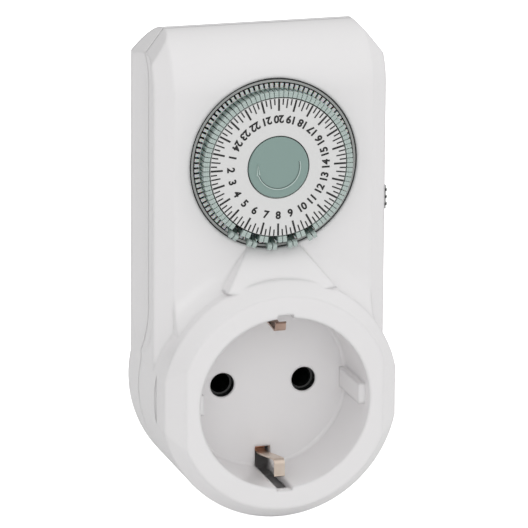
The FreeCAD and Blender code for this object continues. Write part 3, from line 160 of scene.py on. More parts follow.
def moulded_surface() -> bpy.types.NodeTree:
    """Build the group for moulded plastic: a faint unevenness of colour, gloss and height."""
    graph = new_group("moulded_surface", "ShaderNodeTree", {
        "Colour": ("NodeSocketColor", (0.8, 0.8, 0.8, 1.0)),
        "Shade Spread": ("NodeSocketFloat", 0.02),
        "Roughness": ("NodeSocketFloat", 0.4),
        "Gloss Spread": ("NodeSocketFloat", 0.06),
        "Grain Scale": ("NodeSocketFloat", 2600.0),
        "Flow Scale": ("NodeSocketFloat", 45.0),
    }, {"Colour": "NodeSocketColor", "Roughness": "NodeSocketFloat", "Height": "NodeSocketFloat"})
    given = graph.add("NodeGroupInput")
    place = graph.add("ShaderNodeTexCoord").outputs["Object"]
    flow = graph.add("ShaderNodeTexNoise", {"Vector": place, "Scale": given.outputs["Flow Scale"], "Detail": 3.0})
    grain = graph.add("ShaderNodeTexNoise", {"Vector": place, "Scale": given.outputs["Grain Scale"], "Detail": 2.0})
    lean = graph.math("SUBTRACT", flow.outputs[0], 0.5)
    shade = graph.math("MULTIPLY_ADD", lean, given.outputs["Shade Spread"])
    shade.node.inputs[2].default_value = 1.0
    tone = graph.add("ShaderNodeVectorMath", {0: given.outputs["Colour"], "Scale": shade}, operation="SCALE")
    gloss = graph.math("MULTIPLY", lean, given.outputs["Gloss Spread"])
    result = graph.add("NodeGroupOutput")
    graph.link(tone.outputs[0], result, "Colour")
    graph.link(graph.math("ADD", given.outputs["Roughness"], gloss), result, "Roughness")
    graph.link(grain.outputs[0], result, "Height")
    return graph.tree


def rolled_metal() -> bpy.types.NodeTree:
    """Build the group for stamped and turned metal: fine draw lines along one axis and a faint stain."""
    graph = new_group("rolled_metal", "ShaderNodeTree", {
        "Colour": ("NodeSocketColor", (0.7, 0.7, 0.7, 1.0)),
        "Stain": ("NodeSocketColor", (0.5, 0.45, 0.4, 1.0)),
        "Stain Amount": ("NodeSocketFloat", 0.25),
        "Roughness": ("NodeSocketFloat", 0.3),
        "Line Scale": ("NodeSocketVector", (2500.0, 120.0, 2500.0)),
    }, {"Colour": "NodeSocketColor", "Roughness": "NodeSocketFloat", "Height": "NodeSocketFloat"})
    given = graph.add("NodeGroupInput")
    place = graph.add("ShaderNodeTexCoord").outputs["Object"]
    drawn = graph.add("ShaderNodeVectorMath", {0: place, 1: given.outputs["Line Scale"]}, operation="MULTIPLY")
    lines = graph.add("ShaderNodeTexNoise", {"Vector": drawn.outputs[0], "Scale": 1.0, "Detail": 2.0})
    cloud = graph.add("ShaderNodeTexNoise", {"Vector": place, "Scale": STAIN_SCALE, "Detail": 4.0})
    amount = graph.math("MULTIPLY", cloud.outputs[0], given.outputs["Stain Amount"])
    tone = graph.add("ShaderNodeMix", {"Factor": amount, 6: given.outputs["Colour"], 7: given.outputs["Stain"]},
                     data_type="RGBA")
    uneven = graph.math("MULTIPLY_ADD", lines.outputs[0], LINE_GLOSS)
    graph.link(given.outputs["Roughness"], uneven.node, 2)
    result = graph.add("NodeGroupOutput")
    graph.link(tone.outputs[2], result, "Colour")
    graph.link(uneven, result, "Roughness")
    graph.link(lines.outputs[0], result, "Height")
    return graph.tree


class Surfaces:
    """The shader groups that several finishes share."""

    plastic: bpy.types.NodeTree = moulded_surface()
    metal: bpy.types.NodeTree = rolled_metal()


def start_material(name: str) -> tuple[Graph, bpy.types.Node]:
    """Make an empty material.

    Args:
        name: Name of the material.

    Returns:
        A graph on its nodes, and its shader.
    """
    material = bpy.data.materials.new(name)
    material.use_nodes = True
    graph = Graph(material.node_tree)
    material.node_tree.nodes.clear()
    shader = graph.add("ShaderNodeBsdfPrincipled")
    result = graph.add("ShaderNodeOutputMaterial")
    graph.link(shader.outputs["BSDF"], result, "Surface")
    return graph, shader


@dataclass(frozen=True)
class PlasticFinish:
    """Moulded plastic, which may take painted shade that deepens with depth behind the dial's face."""

    name: str
    slot: Slot
    colour: Colour
    roughness: float
    shade_spread: float = 0.02
    grain_depth: float = 0.05
    see_through: float = 0.0
    depth_glow: float = 0.0
    coat: float = 0.0
    soft_edge: float = 0.0
    glow_reach: float = 0.6 * MM
    deep_colour: Colour | None = None

    def build(self) -> bpy.types.Material:
        """Make the material."""
        graph, shader = start_material(self.name)
        surface = graph.add("ShaderNodeGroup", node_tree=Surfaces.plastic)
        surface.inputs["Colour"].default_value = (*self.colour, 1.0)
        surface.inputs["Shade Spread"].default_value = self.shade_spread
        surface.inputs["Roughness"].default_value = self.roughness
        bump = graph.add("ShaderNodeBump", {"Strength": self.grain_depth, "Distance": GRAIN_HEIGHT,
                                            "Height": surface.outputs["Height"]})
        if self.soft_edge:
            edge = graph.add("ShaderNodeBevel", {"Radius": self.soft_edge}, samples=BEVEL_SAMPLES)
            graph.link(edge.outputs[0], bump, "Normal")
        tone = surface.outputs["Colour"]
        # Painted shade: the colour turns to the shade colour with depth behind the dial's face, where shade falls
        # between the tappets.
        if self.deep_colour:
            place = graph.add("ShaderNodeSeparateXYZ", {0: graph.add("ShaderNodeTexCoord").outputs["Object"]})
            depth = graph.add("ShaderNodeMapRange", {
                "Value": place.outputs["Y"],
                "From Min": DIAL_FRONT + SHADE_START,
                "From Max": DIAL_FRONT + SHADE_END,
            })
            tone = graph.add("ShaderNodeMix", {"Factor": depth.outputs[0], 6: tone, 7: (*self.deep_colour, 1.0)},
                             data_type="RGBA").outputs[2]
        graph.link(tone, shader, "Base Color")
        graph.link(surface.outputs["Roughness"], shader, "Roughness")
        graph.link(bump.outputs[0], shader, "Normal")
        shader.inputs["IOR"].default_value = PLASTIC_IOR
        shader.inputs["Coat Weight"].default_value = self.coat
        shader.inputs["Coat Roughness"].default_value = COAT_ROUGHNESS
        shader.inputs["Transmission Weight"].default_value = self.see_through
        shader.inputs["Subsurface Weight"].default_value = self.depth_glow
        shader.inputs["Subsurface Scale"].default_value = self.glow_reach
        return bpy.data.materials[self.name]


@dataclass(frozen=True)
class MetalFinish:
    """Stamped, drawn or turned metal."""

    name: str
    slot: Slot
    colour: Colour
    stain: Colour
    roughness: float
    stain_amount: float = 0.25

    def build(self) -> bpy.types.Material:
        """Make the material."""
        graph, shader = start_material(self.name)
        surface = graph.add("ShaderNodeGroup", node_tree=Surfaces.metal)
        surface.inputs["Colour"].default_value = (*self.colour, 1.0)
        surface.inputs["Stain"].default_value = (*self.stain, 1.0)
        surface.inputs["Stain Amount"].default_value = self.stain_amount
        surface.inputs["Roughness"].default_value = self.roughness
        bump = graph.add("ShaderNodeBump", {"Strength": LINE_STRENGTH, "Distance": LINE_HEIGHT,
                                            "Height": surface.outputs["Height"]})
        graph.link(surface.outputs["Colour"], shader, "Base Color")
        graph.link(surface.outputs["Roughness"], shader, "Roughness")
        graph.link(bump.outputs[0], shader, "Normal")
        shader.inputs["Metallic"].default_value = 1.0
        return bpy.data.materials[self.name]


FINISHES: dict[Slot, PlasticFinish | MetalFinish] = {finish.slot: finish for finish in (
    PlasticFinish("white_housing", Slot.HOUSING, (0.90, 0.888, 0.892), 0.32, coat=0.15, soft_edge=1.2 * MM),
    PlasticFinish("grey_dial", Slot.DIAL, (0.80, 0.80, 0.795), 0.42),
    PlasticFinish("mint_cap", Slot.CAP, (0.265, 0.375, 0.345), 0.36),
    # Pale mint tappets, with painted shade that darkens them behind the dial's face.
    PlasticFinish("pale_mint_tappets", Slot.TAPPET, (0.60, 0.70, 0.665), 0.2, see_through=0.15,
                  deep_colour=(0.16, 0.225, 0.205)),
    PlasticFinish("black_carrier", Slot.CARRIER, (0.022, 0.025, 0.024), 0.38),
    PlasticFinish("natural_gears", Slot.GEAR, (0.70, 0.68, 0.60), 0.45),
    MetalFinish("bright_steel", Slot.STEEL, (0.56, 0.56, 0.56), (0.35, 0.34, 0.33), 0.3),
    MetalFinish("plated_nickel", Slot.NICKEL, (0.66, 0.63, 0.58), (0.5, 0.45, 0.38), 0.2),
    MetalFinish("bright_brass", Slot.BRASS, (0.62, 0.43, 0.18), (0.36, 0.24, 0.12), 0.3),
    MetalFinish("bare_copper", Slot.COPPER, (0.78, 0.42, 0.29), (0.35, 0.16, 0.12), 0.26),
)}
PRINT = PlasticFinish("black_print", Slot.CARRIER, (0.01, 0.01, 0.01), 0.5, shade_spread=0.0)
# Black that stands in for shade: painted shade in the gap round the cap, round the dial's opening and down the pin
# holes.
PAINTED_SHADE = PlasticFinish("painted_shade_black", Slot.CARRIER, (0.008, 0.009, 0.009), 0.3)
# Grey of the carrier's lip, made darker to carry painted shade where shade falls on the lip; also used on the slide's
# ridges.
RIM_GREY_AND_SHADE = PlasticFinish("grey_rim_and_painted_shade", Slot.DIAL, (0.42, 0.43, 0.42), 0.35)
# Lighter mint on the arrow's bead: painted highlight along its crest.
ARROW_HIGHLIGHT = PlasticFinish("arrow_painted_highlight", Slot.CAP, (0.58, 0.69, 0.655), 0.3)
FEET = PlasticFinish("white_tappet_feet", Slot.TAPPET, (0.76, 0.785, 0.775), 0.3, depth_glow=0.2)
CORNER = PlasticFinish("white_corner", Slot.HOUSING, (0.90, 0.888, 0.892), 0.32, coat=0.15)
# Dark mint line inside the arrow: painted shadow of its bead.
ARROW_SHADOW = PlasticFinish("arrow_groove", Slot.CAP, (0.10, 0.15, 0.138), 0.4)
SPRING = MetalFinish("tinned_spring", Slot.COPPER, (0.84, 0.76, 0.67), (0.46, 0.27, 0.17), 0.28, 0.5)
# Darker, browner copy of the spring metal, used on the upper clip.
BROWN_SPRING = MetalFinish("brown_spring", Slot.COPPER, (0.72, 0.55, 0.46), (0.22, 0.12, 0.09), 0.3, 0.9)


class Wardrobe:
    """Builds each material once and hands it out."""

    def __init__(self) -> None:
        """Start with no materials built."""
        self.made: dict[str, bpy.types.Material] = {}

    def of(self, finish: PlasticFinish | MetalFinish) -> bpy.types.Material:
        """Return the finish's material."""
        if finish.name not in self.made:
            self.made[finish.name] = finish.build()
        return self.made[finish.name]


def centre_of(node: str) -> Vector:
    """Return the middle of a CAD node's box."""
    low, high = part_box(node)
    return (low + high) / 2


def object_from(name: str, mesh: bpy.types.Mesh) -> bpy.types.Object:
    """Put a mesh in the scene as an object at the origin."""
    made = bpy.data.objects.new(name, mesh)
    bpy.context.scene.collection.objects.link(made)
    return made


def mesh_from(name: str, shape: bmesh.types.BMesh, smooth: bool = False) -> bpy.types.Mesh:
    """Turn a bmesh into a mesh with its faces pointing outwards.

    Args:
        name: Name of the mesh.
        shape: The bmesh, which is freed.
        smooth: Whether its faces are shaded smooth, apart from those square to Y.

    Returns:
        The mesh.
    """
    bmesh.ops.remove_doubles(shape, verts=shape.verts, dist=1e-7)
    bmesh.ops.recalc_face_normals(shape, faces=shape.faces)
    mesh = bpy.data.meshes.new(name)
    shape.to_mesh(mesh)
    shape.free()
    for polygon in mesh.polygons:
        polygon.use_smooth = smooth and abs(polygon.normal.y) < FLAT_ACROSS
    return mesh


def lathe(shape: bmesh.types.BMesh, profile: Sequence[tuple[float, float]], centre: Vector, steps: int) -> None:
    """Add a closed ring to a bmesh, turned round an axis along Y.

    Args:
        shape: The bmesh that takes the faces.
        profile: Closed outline of radius and Y, in metres.
        centre: A point on the axis.
        steps: Number of stretches round the ring.
    """
    rings = []
    for i in range(steps):
        angle = 2 * math.pi * i / steps
        rings.append([shape.verts.new(ring_point(centre, r, angle, y)) for r, y in profile])
    count = len(profile)
    for i in range(steps):
        here, after = rings[i], rings[(i + 1) % steps]
        for j in range(count):
            k = (j + 1) % count
            shape.faces.new((here[j], after[j], after[k], here[k]))


def arc(shape: bmesh.types.BMesh, profile: Sequence[tuple[float, float]], centre: Vector, start: float, end: float,
        steps: int) -> None:
    """Add an open, capped stretch of a ring to a bmesh, turned round an axis along Y.

    Args:
        shape: The bmesh that takes the faces.
        profile: Closed outline of radius and Y, in metres.
        centre: A point on the axis.
        start: First angle, counter-clockwise from the lowest point.
        end: Last angle.
        steps: Number of stretches between the two.
    """
    sections = []
    for step in range(steps + 1):
        angle = start + (end - start) * step / steps
        sections.append([shape.verts.new(ring_point(centre, r, angle, y)) for r, y in profile])
    count = len(profile)
    for here, after in zip(sections, sections[1:]):
        for j in range(count):
            k = (j + 1) % count
            shape.faces.new((here[j], here[k], after[k], after[j]))
    shape.faces.new(sections[0][::-1])
    shape.faces.new(sections[-1])


def ring_point(centre: Vector, radius: float, angle: float, y: float) -> Vector:
    """Return a point round an axis along Y, at an angle that runs counter-clockwise from the lowest point."""
    return Vector((centre.x + radius * math.sin(angle), y, centre.z - radius * math.cos(angle)))


def settle(piece: bpy.types.Object, body: str, finish: PlasticFinish | MetalFinish, wardrobe: Wardrobe,
           replaces: Sequence[str] = ()) -> bpy.types.Object:
    """Give a finished piece its material, its body and the nodes it stands for.

    Args:
        piece: The finished object.
        body: Name of the body that it rides on.
        finish: Its finish.
        wardrobe: Where the materials are kept.
        replaces: CAD nodes that it replaces.

    Returns:
        The same object.
    """
    if not piece.data.materials:
        piece.data.materials.append(wardrobe.of(finish))
    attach(piece, body)
    if replaces:
        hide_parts(*replaces)
    LOG.info("%s: %d faces on %s", piece.name, len(piece.data.polygons), body)
    return piece


def ring_group(name: str, extra: dict[str, tuple[str, Any]]) -> tuple[Graph, bpy.types.Node, bpy.types.Node, Socket]:
    """Start a geometry group that sets points evenly round an axis along Y.

    Args:
        name: Name of the group.
        extra: Inputs beside the count, phase, radius and centre.

    Returns:
        The graph, its input node, the points, and each point's turn.
    """
    graph = new_group(name, "GeometryNodeTree", {
        "Count": ("NodeSocketInt", 24),
        "Phase": ("NodeSocketFloat", 0.0),
        "Radius": ("NodeSocketFloat", 0.01),
        "Centre": ("NodeSocketVector", (0.0, 0.0, 0.0)),
        "Material": ("NodeSocketMaterial", None),
        **extra,
    }, {"Geometry": "NodeSocketGeometry"})
    given = graph.add("NodeGroupInput")
    index = graph.add("GeometryNodeInputIndex").outputs[0]
    step = graph.math("DIVIDE", 2 * math.pi, given.outputs["Count"])
    angle = graph.math("ADD", graph.math("MULTIPLY", index, step), given.outputs["Phase"])
    across = graph.math("MULTIPLY", graph.math("SINE", angle), given.outputs["Radius"])
    down = graph.math("MULTIPLY", graph.math("COSINE", angle), graph.math("MULTIPLY", given.outputs["Radius"], -1.0))
    offset = graph.add("ShaderNodeCombineXYZ", {0: across, 2: down})
    place = graph.add("ShaderNodeVectorMath", {0: offset.outputs[0], 1: given.outputs["Centre"]}, operation="ADD")
    points = graph.add("GeometryNodePoints", {"Count": given.outputs["Count"], "Position": place.outputs[0]})
    lean = graph.add("ShaderNodeCombineXYZ", {1: graph.math("MULTIPLY", angle, -1.0)})
    turn = graph.add("FunctionNodeEulerToRotation", {0: lean.outputs[0]})
    return graph, given, points, turn.outputs[0]


def end_group(graph: Graph, given: bpy.types.Node, instances: bpy.types.Node) -> bpy.types.NodeTree:
    """Finish a geometry group with Realize Instances and Set Material."""
    real = graph.add("GeometryNodeRealizeInstances", {0: instances.outputs[0]})
    painted = graph.add("GeometryNodeSetMaterial", {"Geometry": real.outputs[0],
                                                    "Material": given.outputs["Material"]})
    graph.link(painted.outputs[0], graph.add("NodeGroupOutput"), 0)
    return graph.tree


def mark_ring_tree() -> bpy.types.NodeTree:
    """Build the geometry group for a ring of straight marks."""
    graph, given, points, turn = ring_group("mark_ring", {"Size": ("NodeSocketVector", (0.0, 0.0, 0.0))})
    bar = graph.add("GeometryNodeMeshCube", {"Size": given.outputs["Size"]})
    placed = graph.add("GeometryNodeInstanceOnPoints", {"Points": points.outputs[0], "Instance": bar.outputs[0],
                                                        "Rotation": turn})
    return end_group(graph, given, placed)


def tappet_ring_tree() -> bpy.types.NodeTree:
    """Build the geometry group for the ring of idle tappets, which leaves out every set half hour."""
    graph, given, points, turn = ring_group("tappet_ring", {
        "Tappet": ("NodeSocketObject", None),
        "First Set": ("NodeSocketFloat", 0.0),
        "Last Set": ("NodeSocketFloat", 0.0),
    })
    index = graph.add("GeometryNodeInputIndex").outputs[0]
    late = graph.math("GREATER_THAN", index, graph.math("SUBTRACT", given.outputs["First Set"], 0.5))
    early = graph.math("LESS_THAN", index, graph.math("ADD", given.outputs["Last Set"], 0.5))
    second_half = graph.math("GREATER_THAN", graph.math("MODULO", index, 4.0), 1.5)
    is_set = graph.math("MULTIPLY", graph.math("MULTIPLY", late, early), second_half)
    pattern = graph.add("GeometryNodeObjectInfo", {"Object": given.outputs["Tappet"], "As Instance": True},
                        transform_space="ORIGINAL")
    placed = graph.add("GeometryNodeInstanceOnPoints", {
        "Points": points.outputs[0], "Selection": graph.math("SUBTRACT", 1.0, is_set),
        "Instance": pattern.outputs["Geometry"], "Rotation": turn})
    return end_group(graph, given, placed)


def grow(name: str, tree: bpy.types.NodeTree, inputs: dict[str, Any]) -> bpy.types.Object:
    """Run a geometry group and keep its result as a plain mesh object.

    Args:
        name: Name of the object.
        tree: The geometry group.
        inputs: Values of its named inputs.

    Returns:
        The object, with no modifier left.
    """
    seed = object_from(name + "_seed", bpy.data.meshes.new(name + "_seed"))
    modifier = seed.modifiers.new(name, "NODES")
    modifier.node_group = tree
    for item in tree.interface.items_tree:
        if item.in_out == "INPUT" and item.name in inputs:
            modifier[item.identifier] = inputs[item.name]
    evaluated = seed.evaluated_get(bpy.context.evaluated_depsgraph_get())
    mesh = bpy.data.meshes.new_from_object(evaluated)
    seed.modifiers.remove(modifier)
    bpy.data.objects.remove(seed)
    mesh.name = name
    return object_from(name, mesh)


@dataclass
class Housing:
    """The covers and everything inside them, which keep their CAD shapes."""

    wardrobe: Wardrobe

    def dress(self) -> None:
        """Give every CAD node of the object the material of its slot."""
        slots = {row["node"]: row["material_slot"] for row in frame["record"]["subparts"]}
        for node, piece in frame["nodes"].items():
            piece.data.materials.clear()
            piece.data.materials.append(self.wardrobe.of(FINISHES[Slot(slots[node])]))
            LOG.info("%s wears %s", node, slots[node])


@dataclass(frozen=True)
class TappetForm:
    """Measures of one tappet: distances from the dial's axis, and depths behind its face or its opening."""

    head_in: float = 15.87 * MM
    head_stem: float = 16.25 * MM
    head_out: float = 17.2 * MM
    head_deep: float = 1.0 * MM
    stem_deep: float = 1.3 * MM
    grooves: tuple[float, float] = (16.32 * MM, 16.76 * MM)
    groove_half: float = 0.07 * MM
    foot_in: float = 16.27 * MM
    foot_out: float = 18.2 * MM
    foot_under: float = 0.32 * MM
    step: float = 0.03 * MM
    step_top: float = 17.18 * MM
    step_foot: float = 17.22 * MM
    long_edge: float = 0.3 * MM
    edge_bevel: float = 0.05 * MM


@dataclass(frozen=True)
class ArrowForm:
    """Measures of the cap's arrow and of the painted shadow line inside it."""

    radius: float = 4.95 * MM
    start: float = math.radians(-72.0)
    end: float = math.radians(104.0)
    foot: float = 0.14 * MM
    crest: float = 0.08 * MM
    sunk: float = 0.22 * MM
    proud: float = 0.2 * MM
    groove_in: float = -0.30 * MM
    groove_out: float = -0.12 * MM
    groove_sunk: float = 0.1 * MM
    groove_proud: float = 0.02 * MM
    barb_long: float = math.radians(30.0)
    barb_out: float = 0.42 * MM
    barb_wide: float = 0.2 * MM
    stretches: int = 48


@dataclass
class Dial:
    """The numbered dial with its cap and its ring of tappets."""

    wardrobe: Wardrobe
    number_radius: float = 11.0 * MM
    number_height: float = 1.74 * MM
    number_bold: float = 0.085 * MM
    size_per_height: float = 1.36
    digit_space: float = 0.95
    print_thick: float = 0.04 * MM
    mark_out: float = 15.55 * MM
    hour_long: float = 2.75 * MM
    half_long: float = 2.1 * MM
    quarter_long: float = 1.4 * MM
    hour_wide: float = 0.42 * MM
    fine_wide: float = 0.29 * MM
    hours: int = 24
    hour_below: int = 8
    first_set: int = 22
    last_set: int = 39
    tilt: float = math.radians(24.0)
    tappet_count: int = 96
    head_half: float = 0.46 * MM
    foot_half: float = 0.35 * MM
    hole_radius: float = 19.28 * MM
    lip_thick: float = 0.47 * MM
    lip_high: float = 1.3 * MM
    gap_start: float = 0.04 * MM
    gap_front: float = 0.3 * MM
    gap_back: float = 0.5 * MM
    opening_ahead: float = 0.75 * MM
    cap_edge: float = 0.3 * MM
    seat_in: float = 0.2 * MM
    seat_out: float = 0.22 * MM
    seat_deep: float = 0.3 * MM
    # Lift of the painted shade ring round the cap, which makes it wider at the top.
    seat_lift: float = 0.13 * MM
    cap_steps: int = 96
    rim_steps: int = 144
    skin: float = 0.02 * MM
    pivot_radius: float = 16.9 * MM
    tappet: TappetForm = TappetForm()
    arrow: ArrowForm = ArrowForm()
    centre: Vector = field(default_factory=lambda: centre_of("dial_face"))

    def __post_init__(self) -> None:
        """Read the planes that the pieces sit on from the frame."""
        self.face_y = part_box("dial_face")[0].y
        self.pivot_y = centre_of("tappet_wire").y
        self.opening_y = self.pivot_y - self.opening_ahead
        self.cap_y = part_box("dial_cap")[0].y
        self.cap_radius = (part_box("dial_cap")[1].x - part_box("dial_cap")[0].x) / 2

    def build(self) -> None:
        """Make the print, the cap, the rim and the tappets."""
        self.add_numbers()
        self.add_marks()
        self.add_cap()
        self.add_rim()
        self.add_tappets()

    def hour_angle(self, hour: float) -> float:
        """Return the angle of an hour, counter-clockwise from the dial's lowest point."""
        return (hour - self.hour_below) * 2 * math.pi / self.hours

    def add_numbers(self) -> None:
        """Print the hours, with the tops of the digits towards the dial's centre."""
        whole = bmesh.new()
        for hour in range(1, self.hours + 1):
            text = bpy.data.curves.new(f"hour_{hour}", "FONT")
            text.body = str(hour)
            text.size = self.number_height * self.size_per_height
            text.align_x, text.align_y = "CENTER", "CENTER"
            text.offset = self.number_bold
            text.space_character = self.digit_space
            text.extrude = self.print_thick / 2
            text.resolution_u = 4
            carrier = object_from(f"hour_{hour}", text)
            mesh = bpy.data.meshes.new_from_object(
                carrier.evaluated_get(bpy.context.evaluated_depsgraph_get()))
            angle = self.hour_angle(hour)
            place = ring_point(self.centre, self.number_radius, angle, self.face_y - self.print_thick / 2)
            upright = Matrix.Rotation(math.pi / 2, 4, "X")
            turned = Matrix.Rotation(-angle, 4, "Y")
            mesh.transform(Matrix.Translation(place) @ turned @ upright)
            whole.from_mesh(mesh)
            bpy.data.objects.remove(carrier)
            bpy.data.curves.remove(text)
        settle(object_from("dial_numbers", mesh_from("dial_numbers", whole)), Body.DIAL.value, PRINT,
               self.wardrobe)

    def add_marks(self) -> None:
        """Print the marks of the hours, the half hours and the quarters."""
        tree = mark_ring_tree()
        rows = (
            ("hour_marks", self.hours, 0.0, self.hour_long, self.hour_wide),
            ("half_hour_marks", self.hours, 0.5, self.half_long, self.fine_wide),
            ("quarter_marks", 2 * self.hours, 0.25, self.quarter_long, self.fine_wide),
        )
        for name, count, hour, length, width in rows:
            marks = grow(name, tree, {
                "Count": count, "Phase": self.hour_angle(self.hour_below + hour),
                "Radius": self.mark_out - length / 2,
                "Centre": (self.centre.x, self.face_y - self.print_thick / 2, self.centre.z),
                "Size": (width, self.print_thick, length), "Material": self.wardrobe.of(PRINT)})
            settle(marks, Body.DIAL.value, PRINT, self.wardrobe)

    def add_cap(self) -> None:
        """Model the cap with its rounded edge and its raised arrow, and the painted shade in the gap round it."""
        cap = bmesh.new()
        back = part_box("dial_cap")[1].y
        edge = self.cap_edge
        outline = [(NEAR_AXIS, back), (self.cap_radius, back), (self.cap_radius, self.cap_y + edge)]
        for step in range(1, 5):
            turn = step / 4 * QUARTER_TURN
            outline.append((self.cap_radius - edge * (1 - math.cos(turn)), self.cap_y + edge * (1 - math.sin(turn))))
        outline.append((NEAR_AXIS, self.cap_y))
        lathe(cap, outline, self.centre, self.cap_steps)
        cap_piece = object_from("cap", mesh_from("cap", cap, smooth=True))
        settle(cap_piece, Body.DIAL.value, FINISHES[Slot.CAP], self.wardrobe, ["dial_cap"])
        self.add_arrow()
        # Painted shade: a black ring in the gap round the cap, lifted so that it is wider at the top, where the shadow
        # falls.
        groove = bmesh.new()
        inner, outer, front = self.cap_radius - self.seat_in, self.cap_radius + self.seat_out, back - self.seat_deep
        lathe(groove, [(inner, back), (outer, back), (outer, front), (inner, front)],
              self.centre + Vector((0.0, 0.0, self.seat_lift)), self.cap_steps)
        settle(object_from("cap_groove", mesh_from("cap_groove", groove)), Body.DIAL.value, PAINTED_SHADE, self.wardrobe)

    def add_arrow(self) -> None:
        """Raise the slim curved arrow that shows which way the dial turns, with a painted shadow line inside it."""
        form = self.arrow
        radius, start = form.radius, form.start
        bead = [(-form.foot, form.sunk), (-form.crest, -form.proud), (form.crest, -form.proud), (form.foot, form.sunk)]
        # Outline of the painted shadow strip inside the bead.
        groove = [(form.groove_in, form.groove_sunk), (form.groove_in, -form.groove_proud),
                  (form.groove_out, -form.groove_proud), (form.groove_out, form.groove_sunk)]
        arrow, shade = bmesh.new(), bmesh.new()
        for shape, outline in ((arrow, bead), (shade, groove)):
            profile = [(radius + r, self.cap_y + y) for r, y in outline]
            arc(shape, profile, self.centre, start, form.end, form.stretches)
        tip, barb = start - form.barb_long, form.barb_out
        for side in (-1, 1):
            corners = [(radius + side * barb, start), (radius + side * (barb - form.barb_wide), start), (radius, tip)]
            front, back = ([arrow.verts.new(ring_point(self.centre, r, angle, y)) for r, angle in corners]
                           for y in (self.cap_y - form.proud, self.cap_y + form.proud))
            arrow.faces.new(front)
            arrow.faces.new(back[::-1])
            for j in range(3):
                k = (j + 1) % 3
                arrow.faces.new((front[j], front[k], back[k], back[j]))
        # The bead wears a lighter mint, a painted highlight.
        settle(object_from("cap_arrow", mesh_from("cap_arrow", arrow)), Body.DIAL.value, ARROW_HIGHLIGHT, self.wardrobe)
        # Painted shadow: a dark strip along the inner side of the bead.
        settle(object_from("arrow_groove", mesh_from("arrow_groove", shade)), Body.DIAL.value, ARROW_SHADOW,
               self.wardrobe)

    def add_rim(self) -> None:
        """Cover the carrier's lip with its thin grey rim, darkened to carry painted shade, and fill the gap round it
        with painted shade.
        """
        carrier_low, carrier_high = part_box("tappet_carrier")
        outer = (carrier_high.x - carrier_low.x) / 2 + self.skin
        front, inner = carrier_low.y - self.skin, outer - self.lip_thick - self.skin
        rim = bmesh.new()
        lathe(rim, [(inner, front), (outer, front), (outer, front + self.lip_high), (inner, front + self.lip_high)],
              self.centre, self.rim_steps)
        settle(object_from("carrier_rim", mesh_from("carrier_rim", rim)), Body.DIAL.value, RIM_GREY_AND_SHADE, self.wardrobe)
        # Painted shade: a black ring in the gap between the rim and the housing.
        gap = bmesh.new()
        start, front, back = outer + self.gap_start, self.opening_y + self.gap_front, self.opening_y + self.gap_back
        lathe(gap, [(start, front), (self.hole_radius, front), (self.hole_radius, back), (start, back)],
              self.centre, self.rim_steps)
        settle(object_from("opening_shade", mesh_from("opening_shade", gap)), Body.HOUSING.value, PAINTED_SHADE, self.wardrobe)

    def tappet_shape(self, name: str, outline: Sequence[tuple[float, float]], half: float) -> bpy.types.Mesh:
        """Model one part of a tappet at the dial's lowest point, relative to its pivot.

        Args:
            name: Name of the mesh.
            outline: Its outline, as radius and Y in metres.
            half: Half its width along the rim.

        Returns:
            The mesh, with its long edges bevelled.
        """
        shape = bmesh.new()
        sides = []
        for x in (-half, half):
            sides.append([shape.verts.new((x, y - self.pivot_y, -(r - self.pivot_radius))) for r, y in outline])
        shape.faces.new(sides[0])
        shape.faces.new(sides[1][::-1])
        count = len(outline)
        for j in range(count):
            k = (j + 1) % count
            shape.faces.new((sides[0][k], sides[0][j], sides[1][j], sides[1][k]))
        bmesh.ops.recalc_face_normals(shape, faces=shape.faces)
        sharp = [edge for edge in shape.edges if edge.calc_length() > self.tappet.long_edge]
        bmesh.ops.bevel(shape, geom=sharp, offset=self.tappet.edge_bevel, segments=2, affect="EDGES",
                        clamp_overlap=True)
        return mesh_from(name, shape)

    def head_outline(self) -> list[tuple[float, float]]:
        """Return the outline of a tappet's ribbed head and its stem."""
        form, face, opening = self.tappet, self.face_y, self.opening_y
        outline, half = [(form.head_in, face)], form.groove_half
        for groove in form.grooves:
            outline += [(groove - half, face), (groove, face + half), (groove + half, face)]
        return outline + [(form.head_out, face), (form.head_out, opening), (form.head_stem, opening),
                          (form.head_stem, face + form.stem_deep), (form.head_in, face + form.head_deep)]

    def foot_outline(self) -> list[tuple[float, float]]:
        """Return the outline of a tappet's foot."""
        form, opening, under = self.tappet, self.opening_y, self.pivot_y - self.tappet.foot_under
        return [(form.foot_in, opening - form.step), (form.step_top, opening - form.step), (form.step_foot, opening),
                (form.foot_out, opening), (form.foot_out, under), (form.foot_in, under)]

